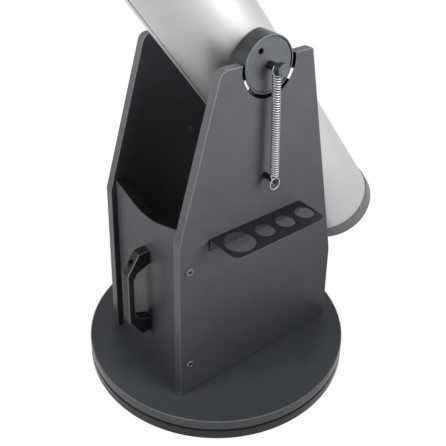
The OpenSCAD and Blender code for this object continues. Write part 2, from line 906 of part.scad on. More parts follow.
module front_ring() color("#77797a") {
    on_tube() translate([0, 0, tube_front]) mirror([0, 0, 1]) end_ring(front_lip);
}

drum_from = sqrt(tube_r * tube_r - drum_r * drum_r) - 1;
drum_seat = tube_r + 12;
drum_head_r = 4;
drum_head_h = 3;
inside_reach = 4;

// Altitude drum: a plastic drum with a saddle cut to the tube and a dished face with a rim and a hub
module altitude_bearing() {
    difference() {
        x_rod(drum_r, drum_from, drum_face);
        translate([0, 0, -tube_d]) cylinder(r = tube_r + seat_fit, h = 2 * tube_d, $fn = 144);
        x_rod(drum_r - drum_rim, spacer_from, drum_face + 1);
        difference() {
            x_rod(drum_r - drum_rim, spacer_from - drum_step, drum_face + 1);
            x_rod(drum_hub_r, drum_from, drum_face + 2);
        }
        x_rod(stud_r + seat_fit, 0, drum_face + 1);
        at_drum_screws() {
            x_rod(drum_thread_r + seat_fit, 0, drum_face + 1);
            x_rod(drum_head_r + counterbore_gap, drum_seat, drum_face + 1);
        }
    }
}

module altitude_bearing_right() color("#3b3d40") {
    on_tube() altitude_bearing();
}

module altitude_bearing_left() color("#3b3d40") {
    on_tube() mirror([1, 0, 0]) altitude_bearing();
}

module bearing_screws() color("#1c1d1f") {
    on_tube() both_sides() at_drum_screws() {
        x_rod(drum_thread_r, bore_r - inside_reach, drum_seat);
        x_rod(drum_head_r, drum_seat, drum_seat + drum_head_h);
    }
}

stud_head_r = 7.2;
stud_head_x = sqrt(bore_r * bore_r - stud_head_r * stud_head_r) - seat_fit;
knob_cap = 5.6;
knob_depth = knob_l - knob_cap;

module spring_studs() color("#b9bcc0") {
    on_tube() both_sides() {
        x_rod(stud_r, bore_r - inside_reach, knob_from + knob_depth - run_fit);
        x_rod(stud_head_r, stud_head_x - inside_reach, stud_head_x);
    }
}

module spring_spacers() color("#1f2022") {
    on_tube() both_sides() difference() {
        x_rod(spacer_d / 2, spacer_from, spacer_to);
        x_rod(stud_r + seat_fit, spacer_from - 1, spacer_to + 1);
    }
}

knob_round = 2;
knob_edge = 0.8;

// Tension knob: a plain cap with a rounded end and a blind hole for the stud
module tension_knob() {
    translate([knob_from, 0, 0]) rotate([0, 90, 0]) rotate_extrude() difference() {
        square([knob_d / 2, knob_l]);
        square([stud_r + run_fit, knob_depth]);
        corner_cut([knob_d / 2, knob_l], [-1, 0], [0, -1], knob_round);
        corner_cut([knob_d / 2, 0], [-1, 0], [0, 1], knob_edge);
    }
}

module tension_knob_right() color("#2b2c2f") {
    on_tube() tension_knob();
}

module tension_knob_left() color("#2b2c2f") {
    on_tube() mirror([1, 0, 0]) tension_knob();
}

// Spider, diagonal mirror and its holder

hub_r = 11;
hub_h = 16;
holder_gap = 5;
holder_step = 1;
hub_screw_r = 2;
hub_screw_depth = 6;
hub_head_r = 4;
hub_head_h = 4;
tilt_screw_r = 1.5;
tilt_head_r = 2.2;
tilt_head_h = 3;
tilt_ring = 6.5;
tilt_angles = [0, 120, 240];
vane_end = bore_r - 3;
vane_stud_from = bore_r - 6;
vane_stud_to = tube_r + 6;
vane_nut_r = 4.5;
vane_nut_tip_r = 3;
vane_nut_h = 4;
vane_nut_cap = 3;

module spider() color("#18191a") {
    on_tube() translate([0, 0, vane_z]) difference() {
        union() {
            translate([0, 0, -hub_h / 2]) cylinder(r = hub_r, h = hub_h);
            for (a = vane_angles) rotate([0, 0, a]) {
                translate([hub_r - 1, -vane_t / 2, -vane_h / 2]) cube([vane_end - hub_r + 1, vane_t, vane_h]);
                x_rod(vane_stud_r, vane_stud_from, vane_stud_to);
            }
        }
        for (a = tilt_angles) rotate([0, 0, focus_roll + a]) translate([tilt_ring, 0, -hub_h])
            cylinder(r = tilt_screw_r + seat_fit, h = 2 * hub_h);
        translate([0, 0, -hub_h]) cylinder(r = hub_screw_r + seat_fit, h = 2 * hub_h);
    }
}

module spider_nuts() color("#2a2b2d") {
    on_tube() translate([0, 0, vane_z]) for (a = vane_angles) rotate([0, 0, a]) difference() {
        union() {
            x_rod(vane_nut_r, tube_r + seat_fit, tube_r + vane_nut_h);
            translate([tube_r + vane_nut_h, 0, 0]) rotate([0, 90, 0])
                cylinder(r1 = vane_nut_r, r2 = vane_nut_tip_r, h = vane_nut_cap);
        }
        x_rod(vane_stud_r + seat_fit, tube_r - 1, vane_stud_to + seat_fit);
    }
}

// A slab square to the line that halves the angle between tube axis and focuser axis
module diagonal_slab(from, to) {
    rotate([0, 0, focus_roll]) rotate([0, 135, 0]) translate([-tube_r, -tube_r, -to])
        cube([tube_d, tube_d, to - from]);
}

module secondary_mirror() color("#dfe6ea") {
    on_tube() translate([0, 0, focus_z]) intersection() {
        translate([0, 0, -2 * diagonal_r]) cylinder(r = diagonal_r, h = 4 * diagonal_r);
        diagonal_slab(0, diagonal_t);
    }
}

module secondary_holder() color("#141516") {
    top = vane_z - focus_z - hub_h / 2 - holder_gap;
    on_tube() translate([0, 0, focus_z]) difference() {
        intersection() {
            translate([0, 0, -2 * diagonal_r])
                cylinder(r = diagonal_r - holder_step, h = 2 * diagonal_r + top);
            diagonal_slab(diagonal_t, 6 * diagonal_r);
        }
        translate([0, 0, top - hub_screw_depth])
            cylinder(r = hub_screw_r + seat_fit, h = hub_screw_depth + 1);
    }
}

module secondary_screws() color("#b9bcc0") {
    top = vane_z - hub_h / 2 - holder_gap;
    on_tube() {
        translate([0, 0, top - hub_screw_depth])
            cylinder(r = hub_screw_r, h = hub_h + holder_gap + hub_screw_depth);
        translate([0, 0, vane_z + hub_h / 2]) cylinder(r = hub_head_r, h = hub_head_h);
        for (a = tilt_angles) rotate([0, 0, focus_roll + a]) translate([tilt_ring, 0, 0]) {
            translate([0, 0, top]) cylinder(r = tilt_screw_r, h = hub_h + holder_gap);
            translate([0, 0, vane_z + hub_h / 2]) cylinder(r = tilt_head_r, h = tilt_head_h);
        }
    }
}

// Primary mirror and its collimation cell

spoke_w = 24;
cell_ring_w = 14;
cell_hub_r = 20;

// A plate of an outer ring, a hub and three spokes
module spoked_plate(r) {
    linear_extrude(cell_t) {
        difference() {
            circle(r = r);
            circle(r = r - cell_ring_w);
        }
        circle(r = cell_hub_r);
        intersection() {
            circle(r = r - 1);
            for (a = collimate_angles) rotate(a) translate([0, -spoke_w / 2]) square([r, spoke_w]);
        }
    }
}

module cell_base() color("#1a1b1c") {
    on_tube() translate([0, 0, cell_base_z]) difference() {
        spoked_plate(bore_r - seat_fit);
        for (a = collimate_angles) rotate([0, 0, a]) translate([collimate_r, 0, -1])
            cylinder(r = collimate_screw_r + run_fit, h = cell_t + 2);
        for (a = cell_screw_angles) rotate([0, 0, a]) translate([cell_screw_ring, 0, -1])
            cylinder(r = cell_screw_r + seat_fit, h = cell_t + 2);
    }
}

module cell_screws() color("#9a9da1") {
    on_tube() for (a = cell_screw_angles) rotate([0, 0, a]) translate([cell_screw_ring, 0, -tube_rear]) {
        cylinder(r = cell_screw_r, h = lip_t + cell_t);
        translate([0, 0, -cell_head_h]) cylinder(r = cell_head_r, h = cell_head_h);
    }
}

bush_play = 0.8;
bush_rim = 3.5;

module collimation_bushes() color("#222222") {
    on_tube() for (a = collimate_angles) rotate([0, 0, a])
        translate([collimate_r, 0, cell_base_z + cell_t]) difference() {
            cylinder(r = collimate_screw_r + bush_rim, h = cell_gap - bush_play);
            translate([0, 0, -1]) cylinder(r = collimate_screw_r + run_fit, h = cell_gap + 2);
        }
}

mirror_pad_r = 9;
tilt_room = 0.5;

module mirror_cell() color("#26282a") {
    on_tube() translate([0, 0, cell_z]) difference() {
        union() {
            spoked_plate(mirror_r);
            for (a = clip_angles) rotate([0, 0, a]) translate([mirror_r - cell_ring_w, -clip_w / 2, 0])
                cube([cell_ring_w + seat_fit, clip_w, cell_t]);
            for (a = collimate_angles) rotate([0, 0, a]) translate([collimate_r, 0, 0])
                cylinder(r = mirror_pad_r, h = cell_t + mirror_pad_t);
        }
        for (a = collimate_angles) rotate([0, 0, a]) translate([collimate_r, 0, -1])
            cylinder(r = collimate_screw_r + tilt_room, h = cell_t + mirror_pad_t + 2);
    }
}

module primary_mirror() color("#dfe6ea") {
    on_tube() difference() {
        translate([0, 0, mirror_z]) cylinder(r = mirror_r, h = mirror_t, $fn = 144);
        dish = 2 * focal_l;
        sag = dish - sqrt(dish * dish - mirror_r * mirror_r);
        translate([0, 0, mirror_z + mirror_t + dish - sag]) sphere(r = dish, $fn = 360);
    }
}

module mirror_clips() color("#3a3c3e") {
    clip_top = mirror_z + mirror_t + clip_gap;
    on_tube() for (a = clip_angles) rotate([0, 0, a]) translate([0, -clip_w / 2, 0]) {
        translate([mirror_r + 2 * seat_fit, 0, cell_z])
            cube([clip_t, clip_w, clip_top - cell_z + clip_tab_t]);
        translate([mirror_r - clip_tab, 0, clip_top]) cube([clip_tab + clip_t, clip_w, clip_tab_t]);
    }
}

turn_head_r = 9;
turn_head_h = 12;
turn_flutes = 8;
turn_flute_r = 2;
turn_collar = 2;

// Collimation knob: a fluted head behind the cell base and a screw up into the tilting plate
module collimation_knob(i) {
    on_tube() rotate([0, 0, collimate_angles[i]]) translate([collimate_r, 0, cell_base_z]) {
        translate([0, 0, -turn_head_h - run_fit]) difference() {
            cylinder(r = turn_head_r, h = turn_head_h);
            for (k = [0:turn_flutes - 1]) rotate([0, 0, 360 * k / turn_flutes])
                translate([turn_head_r + turn_flute_r / 2, 0, -1])
                    cylinder(r = turn_flute_r, h = turn_head_h - turn_collar + 1);
        }
        translate([0, 0, -run_fit - 1]) cylinder(r = collimate_screw_r, h = 2 * cell_t + cell_gap + 1);
    }
}

module collimation_knob_1() color("#202123") {
    collimation_knob(0);
}

module collimation_knob_2() color("#202123") {
    collimation_knob(1);
}

module collimation_knob_3() color("#202123") {
    collimation_knob(2);
}

// Focuser, in a frame whose +Z runs out along its axis and whose +X runs towards the mirror

pinion_w = 8;
block_w = 28;
block_wall = 4;
block_drop = 4;
knob_gap = 2;
focus_knob_w = 16;
focus_flutes = 24;
focus_flute_r = 1.4;

// What the tube takes out of a saddle that sits on it, in the focuser's or the finder's frame
module tube_cut() {
    translate([-tube_d, 0, 0]) rotate([0, 90, 0]) cylinder(r = tube_r + seat_fit, h = 2 * tube_d, $fn = 144);
}

module focuser_body() color("#202124") {
    block_x = shaft_x + pinion_r + block_wall;
    saddle_from = sqrt(tube_r * tube_r - body_r * body_r) - 1;
    on_tube() at_focuser() difference() {
        union() {
            translate([-saddle_l / 2, -saddle_w / 2, saddle_from])
                cube([saddle_l, saddle_w, tube_r + saddle_t - saddle_from]);
            translate([0, 0, saddle_from]) cylinder(r = body_r, h = body_top - saddle_from);
            translate([0, -block_w / 2, tube_r]) cube([block_x, block_w, focus_h - block_drop]);
        }
        tube_cut();
        cylinder(r = draw_od / 2 + run_fit, h = body_top + 1);
        translate([0, -rack_w / 2 - pass_gap, 0])
            cube([rack_slot_x, rack_w + 2 * pass_gap, body_top + 1]);
        translate([shaft_x, 0, shaft_z]) rotate([90, 0, 0]) {
            cylinder(r = shaft_r + run_fit, h = saddle_w, center = true);
            cylinder(r = pinion_r + gear_m + pass_gap, h = pinion_w + 2 * pass_gap, center = true);
        }
    }
}

tooth_h = 0.7 * gear_m;
tooth_root = 0.9 * gear_m;
pressure_angle = 20;
rack_spare = 4;
collar_rim = 4;
adapter_step = 3;
collar_floor = 3;

// Rack teeth along +Z with their pitch line on x = 0, phased so that a gap faces the pinion
module rack_teeth(count) {
    half = rack_pitch * 0.19;
    lean = tooth_h * tan(pressure_angle);
    for (i = [-count:count]) translate([0, 0, (i + 0.5) * rack_pitch]) rotate([90, 0, 0])
        linear_extrude(rack_w, center = true) polygon([
            [-gear_m, -half - lean],
            [tooth_h, -half + lean],
            [tooth_h, half - lean],
            [-gear_m, half + lean]]);
}

module drawtube() color("#2c2d30") {
    rack_half = floor((focus_travel + rack_spare) / rack_pitch);
    on_tube() at_focuser() difference() {
        union() {
            translate([0, 0, collar_z - draw_l]) cylinder(r = draw_od / 2, h = draw_l);
            translate([0, 0, collar_z]) cylinder(r = draw_od / 2 + collar_rim, h = collar_h);
            translate([0, 0, collar_z + collar_h]) cylinder(r = draw_od / 2 - adapter_step, h = adapter_h);
            translate([0, -rack_w / 2, shaft_z - (rack_half + 1) * rack_pitch])
                cube([rack_line - tooth_root, rack_w, 2 * (rack_half + 1) * rack_pitch]);
            translate([rack_line, 0, shaft_z]) rack_teeth(rack_half);
        }
        translate([0, 0, collar_z - draw_l - 1])
            cylinder(r = draw_id / 2, h = 1 + draw_l + collar_h - collar_floor);
        cylinder(r = eye_bore_d / 2, h = eye_z + 1);
        lock_place() cylinder(r = lock_r + run_fit, h = draw_od);
    }
}

// Pinion teeth round its axis, one of them facing the rack
module pinion() {
    cylinder(r = pinion_r - gear_m, h = pinion_w, center = true);
    for (k = [0:pinion_teeth - 1]) rotate([0, 0, 360 * k / pinion_teeth])
        linear_extrude(pinion_w, center = true) polygon([
            [0, -rack_pitch * 0.26],
            [pinion_r, -rack_pitch * 0.2],
            [pinion_r + tooth_h, -rack_pitch * 0.1],
            [pinion_r + tooth_h, rack_pitch * 0.1],
            [pinion_r, rack_pitch * 0.2],
            [0, rack_pitch * 0.26]]);
}

focus_shaft_half = saddle_w / 2 + knob_gap + focus_knob_w;

module focus_shaft() color("#b4b7bb") {
    on_tube() at_focuser() translate([shaft_x, 0, shaft_z]) rotate([90, 0, 0]) {
        cylinder(r = shaft_r, h = 2 * focus_shaft_half, center = true);
        rotate([0, 0, 180]) pinion();
    }
}

module focus_knobs() color("#1b1c1e") {
    on_tube() at_focuser() translate([shaft_x, 0, shaft_z]) rotate([90, 0, 0]) for (s = [0, 1])
        mirror([0, 0, s]) translate([0, 0, saddle_w / 2 + knob_gap]) difference() {
            cylinder(d = focus_knob_d, h = focus_knob_w);
            translate([0, 0, -1]) cylinder(r = shaft_r + seat_fit, h = focus_knob_w + 2);
            for (k = [0:focus_flutes - 1]) rotate([0, 0, 360 * k / focus_flutes])
                translate([focus_knob_d / 2 + focus_flute_r / 3, 0, -1])
                    cylinder(r = focus_flute_r, h = focus_knob_w + 2, $fn = 16);
        }
}

eye_barrel_l = 26;
eye_barrel_wall = 2;
eye_field_depth = 11;
eye_body_r = 18;
eye_body_h = 28;
eye_round = 4;
eye_lens_r = 9;
eye_lens_depth = 3;

module eyepiece() color("#1f2022") {
    on_tube() at_focuser() translate([0, 0, eye_z]) {
        translate([0, 0, -eye_barrel_l]) difference() {
            cylinder(r = eye_bore_d / 2 - run_fit, h = eye_barrel_l);
            translate([0, 0, -1]) cylinder(r = eye_bore_d / 2 - eye_barrel_wall, h = 1 + eye_field_depth);
        }
        rotate_extrude() difference() {
            square([eye_body_r, eye_body_h]);
            corner_cut([eye_body_r, eye_body_h], [-1, 0], [0, -1], eye_round);
            translate([0, eye_body_h - eye_lens_depth]) square([eye_lens_r, eye_lens_depth + 1]);
        }
    }
}

lock_r = 2;
lock_stand = 4;
lock_head_r = 5.5;
lock_head_h = 7;

// The lock screw points at the eyepiece through the adapter's wall, on the side away from the rack
module lock_place() {
    translate([0, 0, collar_z + collar_h + adapter_h / 2]) rotate([0, -90, 0]) children();
}

module eyepiece_lock() color("#c2c4c7") {
    head_at = draw_od / 2 - adapter_step + lock_stand;
    on_tube() at_focuser() lock_place() {
        translate([0, 0, eye_bore_d / 2]) cylinder(r = lock_r, h = head_at - eye_bore_d / 2 + 1);
        translate([0, 0, head_at]) cylinder(r = lock_head_r, h = lock_head_h);
    }
}

// Finder, in a frame whose +Z runs out from the tube and whose +X runs towards the mirror

shoe_l = 46;
shoe_w = 30;
shoe_h = 10;
shoe_floor = 3;
dovetail_half = 11;
dovetail_neck = 8;
dovetail_gap = 0.2;
stalk_w = 12;
finder_ring_w = 34;
finder_ring_t = 5.5;

// Dovetail across the shoe with its floor on y = shoe_floor, narrowed by a gap on each side
module dovetail(gap, top) {
    polygon([
        [-dovetail_half + gap, shoe_floor],
        [dovetail_half - gap, shoe_floor],
        [dovetail_neck - gap, top],
        [-dovetail_neck + gap, top]]);
}

module finder_shoe() color("#1d1e20") {
    shoe_from = sqrt(tube_r * tube_r - shoe_w * shoe_w / 4) - 1;
    on_tube() at_finder() difference() {
        translate([-shoe_l / 2, -shoe_w / 2, shoe_from]) cube([shoe_l, shoe_w, tube_r + shoe_h - shoe_from]);
        tube_cut();
        translate([-shoe_l, 0, tube_r]) rotate([90, 0, 90]) linear_extrude(2 * shoe_l) {
            dovetail(0, shoe_h);
            translate([-dovetail_neck, shoe_h - 1]) square([2 * dovetail_neck, 2]);
        }
    }
}

module finder_bracket() color("#1d1e20") {
    on_tube() at_finder() difference() {
        union() {
            translate([-shoe_l / 2, 0, tube_r]) rotate([90, 0, 90]) linear_extrude(shoe_l)
                dovetail(dovetail_gap, shoe_h);
            translate([-finder_ring_w / 2, -stalk_w / 2, tube_r + shoe_h - 1])
                cube([finder_ring_w, stalk_w, finder_h - shoe_h + 1]);
            translate([-finder_ring_w / 2, 0, finder_axis]) rotate([0, 90, 0])
                cylinder(r = finder_d / 2 + finder_ring_t, h = finder_ring_w);
        }
        translate([-finder_ring_w, 0, finder_axis]) rotate([0, 90, 0])
            cylinder(r = finder_d / 2 + seat_fit, h = 2 * finder_ring_w);
    }
}

objective_r = 19;
objective_l = 46;
objective_wall = 3;
objective_cone = 10;
dew_depth = 14;
finder_sky = 104;
finder_lens_t = 4;
finder_eye_r = 13;
finder_eye_l = 34;
finder_eye_cone = 6;
finder_eye_hole_r = 6;
finder_eye_depth = 4;

// The finder's body is a revolved profile with its objective at the sky end
module finder_tube() color("#17181a") {
    back = finder_sky - finder_l;
    on_tube() at_finder() translate([0, 0, finder_axis]) rotate([0, -90, 0]) difference() {
        rotate_extrude() polygon([
            [0, back],
            [finder_eye_r, back],
            [finder_eye_r, back + finder_eye_l],
            [finder_d / 2, back + finder_eye_l + finder_eye_cone],
            [finder_d / 2, finder_sky - objective_l - objective_cone],
            [objective_r, finder_sky - objective_l],
            [objective_r, finder_sky],
            [0, finder_sky]]);
        translate([0, 0, finder_sky - dew_depth])
            cylinder(r = objective_r - objective_wall, h = dew_depth + 1);
        translate([0, 0, back - 1]) cylinder(r = finder_eye_hole_r, h = 1 + finder_eye_depth);
    }
}

module finder_lens() color("#9fb7c4") {
    on_tube() at_finder() translate([0, 0, finder_axis]) rotate([0, -90, 0])
        translate([0, 0, finder_sky - dew_depth])
            cylinder(r = objective_r - objective_wall - seat_fit, h = finder_lens_t);
}

ground_board();
feet();
foot_screws();
azimuth_pads();
azimuth_bolt();
azimuth_washers();
azimuth_nut();
top_board();
azimuth_bushing();
side_panel_right();
side_panel_left();
front_brace();
base_screws();
assembly_bolts();
carry_handle();
handle_screws();
eyepiece_rack();
rack_screws();
altitude_pads();
spring_post_right();
spring_post_left();
post_screws();
tension_spring_right();
tension_spring_left();
pull_ring_right();
pull_ring_left();
optical_tube();
front_ring();
rear_ring();
altitude_bearing_right();
altitude_bearing_left();
bearing_screws();
spring_studs();
spring_spacers();
tension_knob_right();
tension_knob_left();
spider();
spider_nuts();
secondary_holder();
secondary_mirror();
secondary_screws();
cell_base();
cell_screws();
collimation_bushes();
mirror_cell();
primary_mirror();
mirror_clips();
collimation_knob_1();
collimation_knob_2();
collimation_knob_3();
focuser_body();
drawtube();
focus_shaft();
focus_knobs();
eyepiece();
eyepiece_lock();
finder_shoe();
finder_bracket();
finder_tube();
finder_lens();
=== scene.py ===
"""Dobsonian reflector telescope: visible pieces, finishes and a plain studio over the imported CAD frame.

Lengths are metres in the part's own frame: +Z up, the altitude axis along X, the tube pointing up and to -Y.
"""
import json
import math

import bmesh
import bpy
import numpy as np
from bpy.props import FloatProperty, FloatVectorProperty, IntProperty, PointerProperty
from mathutils import Matrix, Vector


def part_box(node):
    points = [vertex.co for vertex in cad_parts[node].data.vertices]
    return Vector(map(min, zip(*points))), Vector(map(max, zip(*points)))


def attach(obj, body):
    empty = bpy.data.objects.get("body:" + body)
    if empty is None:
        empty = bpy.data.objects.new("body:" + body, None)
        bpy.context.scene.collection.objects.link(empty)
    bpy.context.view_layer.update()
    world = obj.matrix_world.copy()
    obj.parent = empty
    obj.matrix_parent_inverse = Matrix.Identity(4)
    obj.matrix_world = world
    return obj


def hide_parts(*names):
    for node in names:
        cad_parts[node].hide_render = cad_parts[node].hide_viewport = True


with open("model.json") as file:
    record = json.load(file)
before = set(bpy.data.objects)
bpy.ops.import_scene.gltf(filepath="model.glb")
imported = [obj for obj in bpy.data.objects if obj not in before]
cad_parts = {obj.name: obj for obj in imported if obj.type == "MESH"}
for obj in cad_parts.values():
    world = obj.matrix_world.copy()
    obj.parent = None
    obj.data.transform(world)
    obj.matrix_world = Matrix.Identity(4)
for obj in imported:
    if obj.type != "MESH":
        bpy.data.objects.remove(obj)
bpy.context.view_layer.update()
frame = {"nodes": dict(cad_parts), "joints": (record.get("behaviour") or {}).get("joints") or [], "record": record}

bl_info = {
    "name": "Dobsonian telescope",
    "version": (1, 0, 0),
    "blender": (4, 5, 0),
    "location": "View3D > Sidebar > Telescope",
    "description": "Visible pieces and finishes of a dobsonian reflector over its CAD frame",
    "category": "Add Mesh",
}

MM = 0.001
JOINT = {joint["name"]: joint for joint in frame["joints"]}
MOUNT = {mount["name"]: mount for mount in frame["record"]["mounts"]}
SIDES = {"right": 1, "left": -1}

# Directions, origins and sizes that the frame gives
ALTITUDE = np.array(JOINT["altitude"]["pos_m"], float)
SKYWARD = np.array(MOUNT["cap_seat"]["axis"], float)
TUBE_AXES = np.array([(1, 0, 0), np.cross(SKYWARD, (1, 0, 0)), SKYWARD])
TUBE_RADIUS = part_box("optical_tube")[1].x
FOCUS_OUT = np.array(JOINT["focus_slide"]["axis"], float)
FOCUS_AXES = np.array([-SKYWARD, np.cross(FOCUS_OUT, -SKYWARD), FOCUS_OUT])
FOCUS_AT = (np.array(JOINT["focus_slide"]["pos_m"], float) - ALTITUDE) @ SKYWARD
FOCUS_ORIGIN = ALTITUDE + FOCUS_AT * SKYWARD
WORLD_AXES = np.eye(3)
SIDE_AXES = np.array([(0, 1, 0), (0, 0, 1), (1, 0, 0)])

# Points nearer than the first are one point, and edges shorter than the second are dissolved
SAME_POINT, SHORT_EDGE = 0.002 * MM, 0.0005 * MM
# Play between the tube and what sits on it
TUBE_FIT = 0.06 * MM
# Ends of the end rings along the tube from the altitude axis, and the rings' lips over the tube's ends
REAR_END, FRONT_END, RING_LIP = -504 * MM, 662 * MM, 5 * MM
# Stud that holds a spring's top, and the neck, end cap and slot of the post that holds its foot
STUD_RADIUS, POST_NECK, POST_CAP, POST_SLOT = 4 * MM, 3.5 * MM, 3 * MM, 5.2 * MM


def hex_colour(text):
    """An sRGB hex value as linear red, green, blue and alpha."""
    value = np.array([int(text[i:i + 2], 16) for i in (1, 3, 5)]) / 255
    linear = np.where(value > 0.04045, ((value + 0.055) / 1.055) ** 2.4, value / 12.92)
    return (*linear.tolist(), 1.0)


def span(node, axis):
    """Lowest and highest place of a CAD node along one axis."""
    low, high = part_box(node)
    return low[axis], high[axis]


# Sizes and colours


def length_setting(name, description, millimetres, **limits):
    return FloatProperty(name=name, description=description, unit="LENGTH", default=millimetres * MM,
                         **limits)


def angle_setting(name, description, degrees):
    return FloatProperty(name=name, description=description, default=math.radians(degrees), subtype="ANGLE")


def colour_setting(name, description, text):
    return FloatVectorProperty(name=name, description=description, size=4, subtype="COLOR",
                               default=hex_colour(text))


def place_setting(name, description, place):
    return FloatVectorProperty(name=name, description=description, size=3, subtype="XYZ", unit="LENGTH",
                               default=place)


class TelescopeSizes(bpy.types.PropertyGroup):
    """Sizes of the visible pieces that the frame doesn't give by itself."""
    rim_round: length_setting("Rim round", "Radius of the boards' rounded rims", 1.7, min=1 * MM)
    rim_band: length_setting("Rim band", "Thickness of the edge band round the boards' rims", 2, min=0)
    panel_edge: length_setting("Panel edge", "Rounding of the box panels' edge band", 0.9, min=0.1 * MM)
    front_kink: length_setting("Front kink", "Height above the deck where the panels' front slopes", 300)
    rear_kink: length_setting("Rear kink", "Height above the deck where the panels' rear slopes", 157)
    top_front: length_setting("Top front", "Front end of the panels' flat top, along Y", -85)
    top_rear: length_setting("Top rear", "Rear end of the panels' flat top, along Y", 99)
    top_round: length_setting("Top corner", "Radius of the panels' front top corner", 16)
    dip_radius: length_setting("Dip radius", "Radius of the bottom of the brace's dip", 150)
    dip_low: length_setting("Dip height", "Height of the dip's lowest point above the deck", 297)
    dip_slope: angle_setting("Dip slope", "Slope of the dip's flanks", 17.3)
    grip_thick: length_setting("Grip thickness", "Thickness of the handle's grip", 12)
    grip_long: length_setting("Grip length", "Length of the grip's straight front", 98)
    handle_width: length_setting("Handle width", "Width of the handle across the brace", 20)
    handle_edge: length_setting("Handle edge", "Rounding of the handle's edges", 1.5)
    rack_corner: length_setting("Rack corner", "Radius of the rack's outer corners", 16)
    rack_sheet: length_setting("Rack sheet", "Thickness of the rack's steel sheet", 2)
    cradle_gap: length_setting("Cradle gap", "Mean gap between a drum and its cradle", 5.2)
    cradle_back: length_setting("Cradle back", "Distance of the cradle's centre behind the drum's axis", 1.6)
    cradle_drop: length_setting("Cradle drop", "Distance of the cradle's centre below the drum's axis", 1.4)
    bolt_head: length_setting("Bolt head", "Radius of the assembly bolts' heads", 7.6)
    drum_rim: length_setting("Drum rim", "Width of the raised rim on the drum's face", 2.2)
    wire: length_setting("Spring wire", "Diameter of the spring's wire", 2.1)
    coil_radius: length_setting("Coil radius", "Mean radius of the spring's turns", 6.2)
    coil_turns: IntProperty(name="Coil turns", description="Turns of each spring", default=43, min=4)
    tube_wall: length_setting("Tube wall", "Thickness of the rolled tube", 1)
    finder_reach: length_setting("Finder reach", "Distance of the finder's axis from the tube's", 135.5)
    finder_roll: angle_setting("Finder roll", "Turn of the finder round the tube from the +X side", 96)


class TelescopeColours(bpy.types.PropertyGroup):
    """Colours of the finishes, as linear values."""
    panel: colour_setting("Panel melamine", "Grey of the box panels' foil", "#5e5f64")
    board: colour_setting("Board melamine", "Slate of the round boards' foil", "#6f757b")
    band: colour_setting("Edge band", "Grey of the edge band", "#656669")
    tube: colour_setting("Tube lacquer", "Silver of the tube", "#c0c1c2")
    ring: colour_setting("Ring lacquer", "Grey of the end rings", "#888a8b")
    drum: colour_setting("Drum plastic", "Grey of the altitude drums", "#585c60")
    moulded: colour_setting("Moulded black", "Black of the handle, knobs and posts", "#252628")
    rack: colour_setting("Rack coat", "Powder coat of the eyepiece rack", "#29292d")
    floor: colour_setting("Floor", "Pale floor and backdrop", "#bababa")


class TelescopeStage(bpy.types.PropertyGroup):
    """The camera, fitted to the photograph's edges, and the studio's light."""
    azimuth: angle_setting("Azimuth", "Side from which the camera looks", 51.89)
    elevation: angle_setting("Elevation", "Height of the camera above the horizon", 22.89)
    roll: angle_setting("Roll", "Turn of the camera about its axis", 0.97)
    distance: length_setting("Distance", "Distance from the camera to the point that it looks at", 1153.26)
    target: place_setting("Target", "Point that the camera looks at", (2.42 * MM, 4.68 * MM, 541.47 * MM))
    lens: FloatProperty(name="Lens", description="Focal length on a 36 mm frame, in millimetres",
                        default=55.556, unit="CAMERA")
    shift: FloatProperty(name="Shift", default=-0.3004,
                         description="Vertical shift of the photograph's crop, in picture heights")
    key: FloatProperty(name="Key light", description="Power of the large soft box",
                       default=6.0, unit="POWER")
    key_place: place_setting("Key place", "Place of the large soft box", (0.98, 0.36, 1.16))
    key_aim: place_setting("Key aim", "Point that the large soft box faces", (0.1, 0.0, 0.91))
    key_size: length_setting("Key size", "Side of the large soft box", 1200)
    key_spread: angle_setting("Key spread", "Spread that the large soft box's grid leaves", 55)
    fill: FloatProperty(name="Fill light", description="Power of the soft box on the other side",
                        default=3.9, unit="POWER")
    fill_place: place_setting("Fill place", "Place of the soft box on the other side", (-0.3, -1.6, 1.2))
    fill_aim: place_setting("Fill aim", "Point that the soft box on the other side faces", (0.0, -0.1, 0.88))
    fill_size: length_setting("Fill size", "Side of the soft box on the other side", 900)
    fill_spread: angle_setting("Fill spread", "Spread that the other soft box's grid leaves", 56)
    ambient: FloatProperty(name="Ambient", description="Brightness of the white surroundings as a light",
                           default=0.03, min=0)


def sizes():
    return bpy.context.scene.telescope_sizes


def colours():
    return bpy.context.scene.telescope_colours


# Surfaces as arrays of points


def facing(axes, sign):
    """A frame's axes, with its z the other way where the sign is -1."""
    return axes * [[1], [1], [sign]]


def from_tube(angle):
    """Direction out from the tube's axis, turned by an angle from +X."""
    return math.cos(angle) * TUBE_AXES[0] + math.sin(angle) * TUBE_AXES[1]


